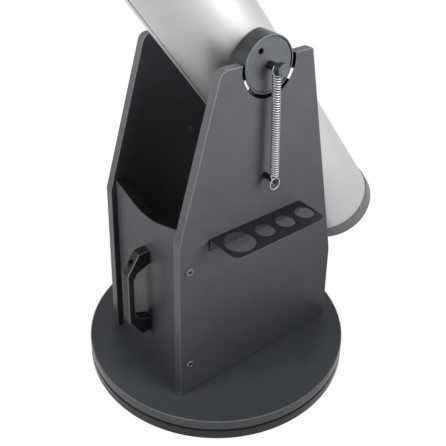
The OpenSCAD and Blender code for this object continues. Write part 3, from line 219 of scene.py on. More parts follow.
class Shell:
    """The patches of one piece, in its own frame: an origin and the directions of its x, y and z."""

    def __init__(self, origin=(0, 0, 0), axes=WORLD_AXES):
        self.origin, self.axes = np.array(origin, float), np.array(axes, float)
        self.points, self.corners, self.counts, self.slots = [], [], [], []
        self.total = 0

    def add(self, points, corners, count, slots):
        """Keeps a patch's points, the faces' corners, how many each face has, and the faces' materials."""
        self.points.append(points.reshape(-1, 3) @ self.axes + self.origin)
        self.corners.append(corners.ravel())
        self.counts.append(count)
        self.slots.append(slots)
        self.total += len(self.points[-1])

    def grid(self, points, slot=0, wrap=False, keep=None):
        """Four-sided faces between the neighbours of a grid of points. Slot is one number, one for each row
        of faces, or a table of them; wrap joins the last column to the first; keep leaves out faces where it
        is false."""
        points = np.asarray(points, float)
        rows, columns = points.shape[:2]
        index = self.total + np.arange(rows * columns).reshape(rows, columns)
        index = np.hstack([index, index[:, :1]]) if wrap else index
        quads = np.stack([index[:-1, :-1], index[:-1, 1:], index[1:, 1:], index[1:, :-1]], axis=-1)
        slot = slot if np.ndim(slot) == 2 else np.reshape(slot, (-1, 1))
        slots = np.broadcast_to(slot, quads.shape[:2])
        keep = np.ones(quads.shape[:2], bool) if keep is None else keep
        self.add(points, quads[keep], np.full(keep.sum(), 4), slots[keep])

    def cap(self, ring, slot=0):
        """One flat face on a closed ring of points."""
        ring = np.asarray(ring, float)
        self.add(ring, self.total + np.arange(len(ring)), np.array([len(ring)]), np.array([slot]))

    def mesh(self, name):
        """The patches as one mesh. Points that meet are still double."""
        counts = np.concatenate(self.counts)
        starts = np.concatenate([[0], np.cumsum(counts)[:-1]])
        mesh = bpy.data.meshes.new(name)
        mesh.vertices.add(self.total)
        mesh.vertices.foreach_set("co", np.concatenate(self.points).ravel())
        mesh.loops.add(int(counts.sum()))
        mesh.loops.foreach_set("vertex_index", np.concatenate(self.corners).astype(np.int32))
        mesh.polygons.add(len(counts))
        mesh.polygons.foreach_set("loop_start", starts.astype(np.int32))
        mesh.polygons.foreach_set("material_index", np.concatenate(self.slots).astype(np.int32))
        mesh.update(calc_edges=True)
        return mesh

    def piece(self, name, body, slot, looks, replaces=(), **shading):
        """Makes the patches one piece that rides on a body."""
        dress(self.mesh(name), name, body, slot, looks, replaces, **shading)

    def dressed(self, node, body, slot, *looks, **shading):
        """Makes the patches the visible piece of one CAD node."""
        self.piece(f"{node}_dressed", body, slot, looks, (node,), **shading)


def clean(mesh, flatten=None):
    """Merges a mesh's doubles, which closes seams and poles, and turns its faces outwards. Flatten joins
    faces that lie within that angle of each other."""
    work = bmesh.new()
    work.from_mesh(mesh)
    bmesh.ops.remove_doubles(work, verts=work.verts, dist=SAME_POINT)
    bmesh.ops.dissolve_degenerate(work, edges=work.edges, dist=SHORT_EDGE)
    if flatten:
        bmesh.ops.dissolve_limit(work, angle_limit=flatten, verts=work.verts, edges=work.edges)
    bmesh.ops.recalc_face_normals(work, faces=work.faces)
    work.to_mesh(mesh)
    work.free()


def dress(mesh, name, body, slot, looks, replaces=(), sharp=38.0, bevel=None, flatten=None):
    """Cleans a mesh, shades it smooth up to an angle in degrees and makes it a piece with the named
    finishes. Bevel is the width and the steps of its rounded edges."""
    clean(mesh, flatten)
    mesh.polygons.foreach_set("use_smooth", np.ones(len(mesh.polygons), bool))
    mesh.set_sharp_from_angle(angle=math.radians(sharp))
    for look in looks:
        mesh.materials.append(finish(look))
    piece = bpy.data.objects.new(name, mesh)
    bpy.context.scene.collection.objects.link(piece)
    if bevel:
        rounding = piece.modifiers.new("rounded edges", "BEVEL")
        rounding.width, rounding.segments = bevel
        rounding.limit_method = "ANGLE"
        rounding.angle_limit = math.radians(30)
        rounding.harden_normals = True
        rounding.miter_outer = "MITER_ARC"
    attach(piece, body)
    if replaces:
        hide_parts(*replaces)


def unit(vectors):
    """Vectors scaled to length one."""
    vectors = np.asarray(vectors, float)
    return vectors / np.linalg.norm(vectors, axis=-1, keepdims=True)


def circle(count):
    """Angles of points spread evenly over a full turn."""
    return np.linspace(0, 2 * math.pi, count, endpoint=False)


def points_at(*parts):
    """Points from their coordinates, each of which is one number or an array."""
    return np.stack(np.broadcast_arrays(*parts), axis=-1)


def arc(radius, angle):
    """Points (r cos a, r sin a) in a plane."""
    return points_at(radius * np.cos(angle), radius * np.sin(angle))


def polar(reach, angle, level):
    """Points (r cos a, r sin a, z) at a distance from the z axis, an angle round it and a height."""
    return points_at(reach * np.cos(angle), reach * np.sin(angle), level)


def raised(outline, level):
    """A flat outline as points at one height."""
    return points_at(outline[:, 0], outline[:, 1], level)


def fillet(corners, radii, steps=6, closed=True, lead=0.4 * MM):
    """An outline whose corners become arcs that touch both sides. The arc's centre lies on the corner's
    bisector at radius / sin(half angle), and a point a little before and after each arc keeps the sides'
    shading flat."""
    corners = np.asarray(corners, float)
    count = len(corners)
    made = []
    for i, radius in enumerate(np.broadcast_to(radii, count)):
        corner = corners[i]
        if radius <= 0 or (not closed and i in (0, count - 1)):
            made.append(corner[None])
            continue
        back, ahead = unit(corners[i - 1] - corner), unit(corners[(i + 1) % count] - corner)
        half = math.acos(np.clip(back @ ahead, -1, 1)) / 2
        reach = radius / math.tan(half)
        centre = corner + unit(back + ahead) * radius / math.sin(half)
        first, last = corner + back * reach - centre, corner + ahead * reach - centre
        start = math.atan2(first[1], first[0])
        sweep_angle = (math.atan2(last[1], last[0]) - start + math.pi) % (2 * math.pi) - math.pi
        bend = centre + arc(radius, start + sweep_angle * np.linspace(0, 1, steps + 1))
        made.append(np.vstack([bend[:1] + back * lead, bend, bend[-1:] + ahead * lead]))
    return np.vstack(made)


def plate(shell, outline, low, high):
    """A flat outline carried square to itself from low to high, with both faces closed."""
    points = np.stack([raised(outline, low), raised(outline, high)])
    shell.grid(points, wrap=True)
    shell.cap(points[0])
    shell.cap(points[1])


def inset(outline, distance):
    """An outline moved inwards. Each point goes along the sum of its two sides' inward normals, scaled so
    that both sides move by the distance."""
    ahead = unit(np.roll(outline, -1, axis=0) - outline)
    normal = points_at(-ahead[:, 1], ahead[:, 0])
    back = np.roll(normal, 1, axis=0)
    return outline + distance * (normal + back) / (1 + (normal * back).sum(1, keepdims=True))


def rounded_plate(shell, outline, low, high, edge, face, walls, edges, left_open=()):
    """A plate whose outline runs anticlockwise, with quarter-round edges. Its rings lie edge * (1 - sin a)
    inside the outline and edge * (1 - cos a) from each face, and one more ring on each face and wall keeps
    their shading flat. Walls and edges give a material number for each point of the outline. The walls that
    start at the points left open aren't filled, and the two rings that bound the walls are given back."""
    lead = 0.3 * MM
    turn = np.linspace(0, math.pi / 2, 4)
    draw = np.concatenate([[edge + lead], edge * (1 - np.sin(turn)), [0]])
    rise = np.concatenate([[0], edge * (1 - np.cos(turn)), [edge + lead]])
    draw, level = np.concatenate([draw, draw[::-1]]), np.concatenate([low + rise, high - rise[::-1]])
    points = np.stack([raised(inset(outline, inwards), height) for inwards, height in zip(draw, level)])
    rows = len(draw) - 1
    slots = np.tile(np.broadcast_to(walls, len(outline)), (rows, 1))
    slots[[0, -1]] = face
    slots[1:len(turn)] = edges
    slots[-len(turn):-1] = edges
    keep = np.ones(slots.shape, bool)
    keep[rows // 2, list(left_open)] = False
    shell.grid(points, slots, wrap=True, keep=keep)
    shell.cap(points[0], face)
    shell.cap(points[-1], face)
    return points[rows // 2:rows // 2 + 2]


def revolve(shell, profile, segments, slot=0):
    """A profile of (radius, height) points carried once round the z axis: x = r cos a, y = r sin a. A
    profile that starts and ends on the same point closes on itself, and one that ends on the axis closes at
    a pole."""
    profile = np.asarray(profile, float)
    shell.grid(polar(profile[:, :1], circle(segments), profile[:, 1:]), slot, wrap=True)


def closed_profile(corners, radii, steps=5):
    """A rounded profile that ends on its first point."""
    outline = fillet(corners, radii, steps, lead=0.25 * MM)
    return np.vstack([outline, outline[:1]])


def open_profile(corners, radii, steps=5):
    """A rounded profile from its first corner to its last."""
    return fillet(corners, radii, steps, closed=False, lead=0.25 * MM)


def sweep(shell, path, outwards, radius, sides, slots):
    """A round wire along a path: at each point a circle in the plane of the outwards vector and of the
    direction square to both it and the path. Both ends are closed. Slots are the material numbers of the
    wire's outer and inner side."""
    along = unit(np.gradient(path, axis=0))
    normal = unit(outwards - (outwards * along).sum(1, keepdims=True) * along)
    binormal = np.cross(along, normal)
    angle = circle(sides)
    inner_side = -0.2
    ring = np.cos(angle)[None, :, None] * normal[:, None] + np.sin(angle)[None, :, None] * binormal[:, None]
    points = path[:, None] + radius * ring
    shell.grid(points, np.where(np.cos(angle + math.pi / sides) > inner_side, *slots)[None], wrap=True)
    shell.cap(points[0], slots[0])
    shell.cap(points[-1], slots[0])


def drilled(shell, boundary, centre, axis, normal, radius, depth, chamfer, hole_slot=0, floor=True):
    """A flat face with a round hole. Each side of the boundary, seen from the hole's centre, spans an arc of
    the hole, and one face fills the space between them. The hole's points are radius * (cos a, sin a) about
    its axis, slid along the axis onto the face, then carried down through a small chamfer to its depth."""
    boundary, centre, axis, normal = (np.asarray(v, float) for v in (boundary, centre, axis, normal))
    askew, step = (0.3, 0.9, 0.2), math.radians(8)
    first = unit(np.cross(axis, askew))
    second = np.cross(axis, first)
    angle = np.unwrap(np.arctan2((boundary - centre) @ second, (boundary - centre) @ first))
    angle = np.append(angle, angle[0] + 2 * math.pi * np.sign(angle[-1] - angle[0]))

    def flat_ring(turn, size):
        return centre + size * (np.cos(turn)[:, None] * first + np.sin(turn)[:, None] * second)

    def ring(turn, size, down):
        flat = flat_ring(turn, size)
        return flat - axis * (((flat - centre) @ normal) / (axis @ normal))[:, None] - axis * down

    turns = []
    for i in range(len(boundary)):
        count = max(1, math.ceil(abs(angle[i + 1] - angle[i]) / step))
        spread = np.linspace(angle[i], angle[i + 1], count + 1)
        side = np.stack([boundary[i], boundary[(i + 1) % len(boundary)]])
        shell.cap(np.vstack([side, ring(spread, radius + chamfer, 0)[::-1]]))
        turns.append(spread[:-1])
    turn = np.concatenate(turns)
    bottom = flat_ring(turn, radius) - axis * depth
    rings = np.stack([ring(turn, radius + chamfer, 0), ring(turn, radius, chamfer), bottom])
    shell.grid(rings, hole_slot, wrap=True)
    if floor:
        shell.cap(bottom, hole_slot)


def fluted(shell, radius, low, high, flutes, depth, chamfer, bore=0.0, sides=None):
    """A knob with rounded flutes: r = radius - depth * (1/2 + 1/2 cos(flutes * a)) ** 2, drawn in by a
    rounded chamfer at both ends and closed on its axis or on a bore."""
    angle = circle(sides or flutes * 10)
    waist = radius - depth * (0.5 + 0.5 * np.cos(flutes * angle)) ** 2
    bend = np.linspace(0, math.pi / 2, 5)
    rise, fall = chamfer * (1 - np.cos(bend)), chamfer * (1 - np.sin(bend))
    draw = np.concatenate([[bore - radius], -fall, -rise, [bore - radius]])
    height = np.concatenate([[low], low + rise, high - fall, [high]])
    reach = np.clip(waist[None] + draw[:, None], bore, None)
    reach[[0, -1]] = bore
    points = polar(reach, angle, height[:, None])
    if bore:
        points = np.concatenate([points, points[:1]])
    shell.grid(points, wrap=True)


def rounded_copy(node, body, slot, look, width, steps=2):
    """A copy of a CAD node with its loose triangles merged, its flat faces joined and, where a width is
    given, its edges rounded."""
    sharp, flatten = 34.0, math.radians(0.6)
    source = frame["nodes"][node].data
    points = np.empty(len(source.vertices) * 3, np.float32)
    source.vertices.foreach_get("co", points)
    corners = np.empty(len(source.loops), np.int32)
    source.loops.foreach_get("vertex_index", corners)
    name = f"{node}_dressed"
    mesh = bpy.data.meshes.new(name)
    mesh.from_pydata(points.reshape(-1, 3), [], corners.reshape(-1, 3))
    bevel = (width, steps) if width else None
    dress(mesh, name, body, slot, (look,), (node,), sharp, bevel, flatten)


def paint(look, *nodes):
    """Puts a finish on CAD nodes that stay as they are."""
    for node in nodes:
        piece = frame["nodes"][node]
        if not piece.material_slots:
            piece.data.materials.append(finish(look))
        for place in piece.material_slots:
            place.material = finish(look)


# Finishes

# Slot and finish of the anodised pieces
ANODISED = "anodised_black", "black anodised aluminium"
# Range that most of a noise fills, and its upper end
MIDDLE, PEAKS = (0.3, 0.7), (0.55, 0.8)
# Pattern of the melamine's pale flecks, the range of it where they show, and their colour
FLECK, FLECK_FROM, FLECK_COLOUR = (2.1 * MM, 2.0, 0.5), (0.58, 0.76), (0.42, 0.44, 0.45, 1.0)


def add_node(tree, kind, inputs=None, **settings):
    """One node with its settings. Inputs maps a socket's name or number to a value or a node's output."""
    node = tree.nodes.new(kind)
    for key, value in settings.items():
        setattr(node, key, value)
    for key, value in (inputs or {}).items():
        if isinstance(value, bpy.types.NodeSocket):
            tree.links.new(value, node.inputs[key])
        else:
            node.inputs[key].default_value = value
    return node


def start_finish(name):
    """An empty material's tree and the object coordinates of its surface."""
    material = bpy.data.materials.new(name)
    material.use_nodes = True
    tree = material.node_tree
    tree.nodes.clear()
    return material, tree, add_node(tree, "ShaderNodeTexCoord").outputs["Object"]


def scaled(colour, share):
    """A colour made darker or lighter."""
    return (*(c * share for c in colour[:3]), 1.0)


def shade(tree, noise, colour, low, high):
    """A colour that a noise makes darker and lighter, from one share of itself to another."""
    factor = add_node(tree, "ShaderNodeMapRange", {"Value": noise, "From Min": MIDDLE[0],
                                                   "From Max": MIDDLE[1]})
    return add_node(tree, "ShaderNodeMix", {0: factor.outputs["Result"], 6: scaled(colour, low),
                                            7: scaled(colour, high)}, data_type="RGBA").outputs[2]


def coat(name, colour, tones, gloss, relief=None, sockets=None, gloss_from=MIDDLE, flecks=0.0, stretch=None):
    """A material from its recipe. A pattern is noise: the size of its lumps, its detail and its roughness.
    Tones are a pattern with the darkest and lightest share of the colour, and two tones are mixed evenly.
    Gloss is a pattern with the lowest and highest roughness, over a range of the noise. Relief is a pattern
    with the depth of its bump. Flecks is how strongly pale flecks show, and stretch lays all patterns along
    a direction."""
    material, tree, place = start_finish(name)
    if stretch:
        place = add_node(tree, "ShaderNodeMapping", {"Vector": place, "Scale": stretch}).outputs["Vector"]
    patterns = [use[0] for use in (*tones, gloss, relief) if use]
    if flecks:
        patterns.append(FLECK)
    noise = {}
    for size, detail, roughness in dict.fromkeys(patterns):
        node = add_node(tree, "ShaderNodeTexNoise", {"Vector": place, "Scale": 1 / size, "Detail": detail,
                                                     "Roughness": roughness})
        noise[size, detail, roughness] = node.outputs["Fac"]
    base, *others = (shade(tree, noise[pattern], colour, low, high) for pattern, low, high in tones)
    layers = [(0.5, other) for other in others]
    if flecks:
        fleck = add_node(tree, "ShaderNodeMapRange", {"Value": noise[FLECK], "From Min": FLECK_FROM[0],
                                                      "From Max": FLECK_FROM[1], "To Max": flecks})
        layers.append((fleck.outputs["Result"], FLECK_COLOUR))
    for factor, over in layers:
        base = add_node(tree, "ShaderNodeMix", {0: factor, 6: base, 7: over}, data_type="RGBA").outputs[2]
    pattern, low, high = gloss
    rough = add_node(tree, "ShaderNodeMapRange", {"Value": noise[pattern], "From Min": gloss_from[0],
                                                  "From Max": gloss_from[1], "To Min": low, "To Max": high})
    inputs = {"Base Color": base, "Roughness": rough.outputs["Result"], **(sockets or {})}
    if relief:
        pattern, depth = relief
        bump = add_node(tree, "ShaderNodeBump", {"Height": noise[pattern], "Distance": depth,
                                                 "Strength": 1.0})
        inputs["Normal"] = bump.outputs["Normal"]
    shader = add_node(tree, "ShaderNodeBsdfPrincipled", inputs)
    add_node(tree, "ShaderNodeOutputMaterial", {"Surface": shader.outputs["BSDF"]})
    return material


def melamine(colour, shine, flecks):
    """Melamine foil pressed on particle board: a fine pearl grain that breaks up a satin sheen, with faint
    clouds and pale flecks. The pearl is 0.3 mm on the real foil and is drawn 1.3 mm wide so as to show."""
    pearl, cloud = (1.3 * MM, 3.0, 0.6), (38 * MM, 3.0, 0.5)
    return {"colour": colour, "tones": [(cloud, 0.94, 1.06)], "gloss": (pearl, 0.32, 0.44),
            "relief": (pearl, 0.035 * MM), "flecks": flecks, "sockets": {"Specular IOR Level": shine}}


def edge_band(colour):
    """PVC edge band: a little lighter and smoother than the foil, with long faint waves from the roller."""
    wave, dimple = (9 * MM, 2.0, 0.5), (2.4 * MM, 2.0, 0.5)
    return {"colour": colour, "tones": [(wave, 0.93, 1.07)], "gloss": (wave, 0.28, 0.4),
            "relief": (dimple, 0.02 * MM), "sockets": {"Specular IOR Level": 0.3}}


def silver_lacquer(colour):
    """Sprayed silver lacquer on rolled steel: aluminium flakes under a thin clear coat. The flakes are far
    too fine to show, so they are drawn 0.9 mm wide. Slow clouds of 60 mm are the coat's own unevenness."""
    flake, cloud, dimple = (0.9 * MM, 2.0, 0.7), (60 * MM, 2.0, 0.5), (4 * MM, 2.0, 0.5)
    return {"colour": colour, "tones": [(flake, 0.95, 1.05), (cloud, 0.97, 1.03)],
            "gloss": (flake, 0.43, 0.51), "relief": (dimple, 0.01 * MM),
            "sockets": {"Metallic": 0.9, "Coat Weight": 0.1, "Coat Roughness": 0.3}}


def ring_lacquer(colour):
    """Grey metallic lacquer on cast alloy: soft sheen with a thick coat's orange peel, 1.8 mm wide."""
    peel, cloud = (1.8 * MM, 2.0, 0.5), (22 * MM, 3.0, 0.5)
    return {"colour": colour, "tones": [(cloud, 0.93, 1.06)], "gloss": (peel, 0.4, 0.52),
            "relief": (peel, 0.03 * MM), "sockets": {"Metallic": 0.25}}


def moulded_plastic(colour, roughness, shine=0.45):
    """Injection-moulded ABS with a spark-eroded grain: matt, with a soft highlight. The grain of about
    0.2 mm is drawn 0.8 mm wide."""
    spark, cloud = (0.8 * MM, 3.0, 0.65), (16 * MM, 3.0, 0.5)
    return {"colour": colour, "tones": [(cloud, 0.9, 1.1)],
            "gloss": (spark, roughness - 0.06, roughness + 0.08), "relief": (spark, 0.03 * MM),
            "sockets": {"Specular IOR Level": shine}}


def powder_coat(colour):
    """Powder coat baked on steel sheet: an even satin film with 1.4 mm orange peel."""
    peel, cloud = (1.4 * MM, 1.5, 0.5), (12 * MM, 2.0, 0.5)
    return {"colour": colour, "tones": [(cloud, 0.92, 1.1)], "gloss": (peel, 0.42, 0.54),
            "relief": (peel, 0.05 * MM), "sockets": {"Specular IOR Level": 0.3}}


def bright_metal(colour, low, high, width, stretch=(1.0, 1.0, 1.0)):
    """Bare or plated steel: a clear reflection broken by fine streaks, which the stretch lays along the
    direction of drawing or brushing."""
    streak = (width, 3.0, 0.6)
    return {"colour": colour, "tones": [(streak, 0.86, 1.04)], "gloss": (streak, low, high),
            "relief": (streak, 0.008 * MM), "stretch": stretch, "sockets": {"Metallic": 1.0}}


def coated_metal(colour, roughness, width):
    """Dark conversion coat or anodic film on metal: deep satin black with a fine turned grain."""
    line = (width, 3.0, 0.6)
    return {"colour": colour, "tones": [(line, 0.85, 1.15)],
            "gloss": (line, roughness - 0.06, roughness + 0.08), "relief": (line, 0.012 * MM),
            "sockets": {"Metallic": 0.4}}


def soft_polymer(colour, roughness, lump, shine=0.5):
    """Matt rubber, nylon or glide polymer: even colour, faint clouding and a soft, waxy or dry surface."""
    cloud, dimple = (lump, 3.0, 0.5), (lump / 6, 2.0, 0.5)
    return {"colour": colour, "tones": [(cloud, 0.93, 1.05)],
            "gloss": (cloud, roughness - 0.05, roughness + 0.08), "relief": (dimple, 0.02 * MM),
            "sockets": {"IOR": 1.45, "Specular IOR Level": shine}}


def mirror_coat():
    """Vacuum-deposited aluminium under quartz on polished glass: a clear mirror with the faintest dust."""
    dust = (3 * MM, 4.0, 0.5)
    return {"colour": hex_colour("#e6ebee"), "tones": [(dust, 0.97, 1.0)], "gloss": (dust, 0.012, 0.05),
            "gloss_from": PEAKS, "sockets": {"Metallic": 1.0}}


def lens_glass():
    """Coated crown glass: clear, with the blue-green tint of a single-layer coating and a trace of dust."""
    dust = (2 * MM, 4.0, 0.5)
    return {"colour": hex_colour("#a9c9cf"), "tones": [(dust, 0.96, 1.0)], "gloss": (dust, 0.01, 0.06),
            "gloss_from": PEAKS, "sockets": {"Transmission Weight": 0.75, "IOR": 1.52}}


def finish(name):
    """The named finish, made at its first use by the recipe and values that stand beside its name."""
    if name in bpy.data.materials:
        return bpy.data.materials[name]
    hue = colours()
    recipes = {
        "panel melamine": (melamine, hue.panel, 0.14, 0.08),
        "board melamine": (melamine, hue.board, 0.16, 0.06),
        "panel edge band": (edge_band, hue.band),
        # The arrises are lighter copies of the edge band: painted highlights along the panels' and the deck's
        # edges.
        "band arris": (edge_band, scaled(hue.band, 2.0)),
        "board arris": (edge_band, scaled(hue.band, 3.4)),
        # Near-black band: painted shade under the deck's rim and on the ground board's rim, in the gap between the
        # boards, and the dark edge of the front brace.
        "dark edge band": (edge_band, hex_colour("#151617")),
        "board edge band": (edge_band, scaled(hue.band, 1.3)),
        "silver lacquer": (silver_lacquer, hue.tube),
        # A near-black copy of the silver: painted shade in the tube's seam groove.
        "seam lacquer": (silver_lacquer, scaled(hue.tube, 0.2)),
        # Flat black paint inside the tube, and painted shade on the panels' cradle walls round the drums.
        "flat black paint": (soft_polymer, hex_colour("#08080a"), 0.85, 6 * MM, 0.1),
        "ring lacquer": (ring_lacquer, hue.ring),
        "drum plastic": (moulded_plastic, hue.drum, 0.4),
        # Darker and lighter copies of the drum plastic: painted shade on the drums' and knobs' sides, and a
        # painted highlight on the drums' rim edge.
        "drum side plastic": (moulded_plastic, scaled(hue.drum, 0.3), 0.36, 0.3),
        "drum edge plastic": (moulded_plastic, scaled(hue.drum, 1.7), 0.28),
        "knob plastic": (moulded_plastic, scaled(hue.drum, 1.15), 0.4),
        "moulded black": (moulded_plastic, hue.moulded, 0.46, 0.3),
        "handle plastic": (moulded_plastic, hue.moulded, 0.5, 0.24),
        # A light grey on the handle's rounded edges: painted highlight.
        "rubbed handle edge": (moulded_plastic, hex_colour("#87888b"), 0.3, 0.5),
        "rack powder coat": (powder_coat, hue.rack),
        # The rack coat made eight times lighter: painted highlight along the sheet's cut edge.
        "rubbed rack edge": (powder_coat, scaled(hue.rack, 8.0)),
        "glide polymer": (soft_polymer, hex_colour("#e9e9e5"), 0.42, 8 * MM),
        "natural nylon": (soft_polymer, hex_colour("#d9d5c6"), 0.5, 8 * MM),
        "black rubber": (soft_polymer, hex_colour("#151515"), 0.75, 4 * MM),
        "drawn spring wire": (bright_metal, hex_colour("#c2c3c5"), 0.42, 0.54, 1.2 * MM, (1, 1, 0.4)),
        # Near-black on the inner side of the spring's turns: painted shade between the turns.
        "oiled spring wire": (coated_metal, hex_colour("#0c0c0d"), 0.6, 1.0 * MM),
        "bright zinc": (bright_metal, hex_colour("#b9bcbf"), 0.22, 0.38, 1.5 * MM),
        "dull nickel": (bright_metal, hex_colour("#707275"), 0.36, 0.5, 1.2 * MM),
        "black oxide": (coated_metal, hex_colour("#232427"), 0.42, 1.0 * MM),
        "black anodised aluminium": (coated_metal, hex_colour("#1f2023"), 0.36, 0.9 * MM),
        "black casting": (coated_metal, hex_colour("#1a1b1c"), 0.55, 2.2 * MM),
        "mirror coat": (mirror_coat,),
        "ground glass": (soft_polymer, hex_colour("#aebbb8"), 0.55, 5 * MM),
        "lens glass": (lens_glass,),
    }
    recipe, *values = recipes[name]
    return coat(name, **recipe(*values))


# Stage


class TELESCOPE_OT_stage(bpy.types.Operator):
    """Pale floor, white surroundings, two soft boxes and the camera at the photograph's angle"""
    bl_idname = "telescope.stage"
    bl_label = "Stage"

    def execute(self, context):
        scene = context.scene
        setup = scene.telescope_stage
        scene.view_settings.view_transform = "Standard"
        self.surroundings(scene, setup)
        self.floor(scene)
        for name in ("key", "fill"):
            self.soft_box(scene, setup, name)
        self.camera(scene, setup)
        return {"FINISHED"}

    def seen(self, tree):
        """One for rays that show the surroundings: from the camera, off gloss or through glass."""
        path = add_node(tree, "ShaderNodeLightPath").outputs
        shown = path["Is Camera Ray"]
        for kind in ("Is Glossy Ray", "Is Transmission Ray"):
            either = add_node(tree, "ShaderNodeMath", {0: shown, 1: path[kind]}, operation="MAXIMUM")
            shown = either.outputs[0]
        return shown

    def surroundings(self, scene, setup):
        """A white world for the rays that show it, and a dim one as a light."""
        world = bpy.data.worlds.new("white surroundings")
        world.use_nodes = True
        scene.world = world
        tree = world.node_tree
        tree.nodes.clear()
        strength = add_node(tree, "ShaderNodeMapRange", {"Value": self.seen(tree), "To Min": setup.ambient})
        shown = add_node(tree, "ShaderNodeBackground", {"Color": (1, 1, 1, 1),
                                                        "Strength": strength.outputs["Result"]})
        add_node(tree, "ShaderNodeOutputWorld", {"Surface": shown.outputs["Background"]})

    def floor(self, scene):
        """A large disc: concentric rings of points about the azimuth axis. It shows white, a little less so
        near the part, where its shadow falls."""
        material, tree, place = start_finish("pale studio floor")
        near, far, near_white, cloud_size = 0.3, 0.65, 0.94, 400 * MM
        cloud = add_node(tree, "ShaderNodeTexNoise", {"Vector": place, "Scale": 1 / cloud_size})
        colour = shade(tree, cloud.outputs["Fac"], colours().floor, 0.99, 1.0)
        matt = add_node(tree, "ShaderNodeBsdfDiffuse", {"Color": colour})
        reach = add_node(tree, "ShaderNodeVectorMath", {0: place}, operation="LENGTH").outputs["Value"]
        faded = add_node(tree, "ShaderNodeMapRange", {"Value": reach, "From Min": near, "From Max": far,
                                                      "To Min": near_white})
        shown = add_node(tree, "ShaderNodeMath", {0: self.seen(tree), 1: faded.outputs["Result"]},
                         operation="MULTIPLY")
        white = add_node(tree, "ShaderNodeEmission", {"Color": (1, 1, 1, 1), "Strength": shown.outputs[0]})
        both = add_node(tree, "ShaderNodeAddShader", {0: matt.outputs[0], 1: white.outputs[0]})
        add_node(tree, "ShaderNodeOutputMaterial", {"Surface": both.outputs[0]})
        shell = Shell()
        revolve(shell, [(12, 0), (4, 0), (1, 0), (0, 0)], 64)
        mesh = shell.mesh("floor")
        clean(mesh)
        mesh.materials.append(material)
        floor = bpy.data.objects.new("floor", mesh)
        scene.collection.objects.link(floor)

    def soft_box(self, scene, setup, name):
        """A square lamp that faces its aim, with a grid that holds its light to the spread."""
        power, place, aim, size, spread = (getattr(setup, name + part)
                                           for part in ("", "_place", "_aim", "_size", "_spread"))
        lamp = bpy.data.lights.new(f"{name}_box", "AREA")
        lamp.shape = "SQUARE"
        lamp.size = size
        lamp.spread = spread
        lamp.energy = power
        box = bpy.data.objects.new(f"{name}_box", lamp)
        box.location = place
        box.rotation_euler = (Vector(aim) - Vector(place)).to_track_quat("-Z", "Y").to_euler()
        scene.collection.objects.link(box)

    def camera(self, scene, setup):
        """The camera stands back from its target along the azimuth and elevation, turned by its roll."""
        back = Vector((math.sin(setup.azimuth) * math.cos(setup.elevation),
                       -math.cos(setup.azimuth) * math.cos(setup.elevation), math.sin(setup.elevation)))
        right = Vector((0, 0, 1)).cross(back).normalized()
        up = back.cross(right)
        turned = right * math.cos(setup.roll) + up * math.sin(setup.roll)
        upright = back.cross(turned)
        lens = bpy.data.cameras.new("camera")
        lens.lens = setup.lens
        lens.sensor_width = 36.0
        lens.shift_y = setup.shift
        camera = bpy.data.objects.new("camera", lens)
        place = Vector(setup.target) + back * setup.distance
        turn = Matrix((turned, upright, back)).transposed().to_4x4()
        camera.matrix_world = Matrix.Translation(place) @ turn
        scene.collection.objects.link(camera)
        scene.camera = camera


# Base


class TELESCOPE_OT_boards(bpy.types.Operator):
    """Round ground board and turning deck with rounded, banded rims"""
    bl_idname = "telescope.boards"
    bl_label = "Round boards"

    def execute(self, context):
        size = sizes()
        rim = size.rim_round
        bolt_hole, play, hole_edge, margin, arris, underside = np.array([6.1, 0.05, 0.3, 0.3, 0.9, 2]) * MM
        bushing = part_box("azimuth_bushing")[1].x
        boards = ("top_board", "rocker", bushing + play), ("ground_board", "ground", bolt_hole)
        for node, body, hole in boards:
            low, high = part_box(node)
            radius = high.x + size.rim_band
            corners = [(hole, low.z), (radius, low.z), (radius, high.z), (hole, high.z)]
            profile = closed_profile(corners, (hole_edge, rim, rim, hole_edge), 8)
            reach, level = ((profile[1:] + profile[:-1]) / 2).T
            # Faces on the top arris take a painted highlight and those under the rim painted shade; the ground
            # board's whole rim is painted shade.
            slot = np.where(level > high.z - arris, 2, np.where(level < low.z + underside, 3, 1))
            slot = slot if body == "rocker" else 3
            shell = Shell()
            revolve(shell, profile, 256, np.where(reach > radius - rim - margin, slot, 0))
            shell.dressed(node, body, "board_black", "board melamine", "board edge band", "board arris",
                          "dark edge band")
        return {"FINISHED"}


class TELESCOPE_OT_feet(bpy.types.Operator):
    """Rubber feet, azimuth glide pads and the pivot's hardware"""
    bl_idname = "telescope.feet"
    bl_label = "Feet and pivot"

    def execute(self, context):
        from_rim, pad_corner, pad_edge = np.array([46, 4, 0.5]) * MM
        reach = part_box("ground_board")[1].x - from_rim
        foot = np.array([(2.55, 7), (8, 7), (8, 0), (18, 0), (19.4, 8), (18.9, 9), (19.7, 10), (21, 17.9),
                         (2.55, 17.9)]) * MM
        foot_profile = closed_profile(foot, np.array([0, 0.6, 1.2, 1.6, 0.4, 0.3, 0.4, 0.6, 0]) * MM)
        pad = fillet(np.array([(-13, -20), (13, -20), (13, 20), (-13, 20)]) * MM, pad_corner)
        pad_low, pad_high = span("azimuth_pads", 2)
        feet, pads = Shell(), Shell()
        for degrees in (30, 150, 270):
            turn = math.radians(degrees)
            out = np.array([math.cos(turn), math.sin(turn), 0])
            for shell in (feet, pads):
                shell.origin, shell.axes = reach * out, np.array([out, (-out[1], out[0], 0), (0, 0, 1)])
            revolve(feet, foot_profile, 64)
            plate(pads, pad, pad_low, pad_high)
        feet.piece("rubber_feet", "ground", "rubber_black", ("black rubber",), ("feet",))
        pads.piece("azimuth_glides", "ground", "glide_white", ("glide polymer",), ("azimuth_pads",),
                   bevel=(pad_edge, 2))
        paint("bright zinc", "foot_screws", "azimuth_bolt", "azimuth_washers", "azimuth_nut", "base_screws")
        paint("natural nylon", "azimuth_bushing")
        return {"FINISHED"}


# Rocker box


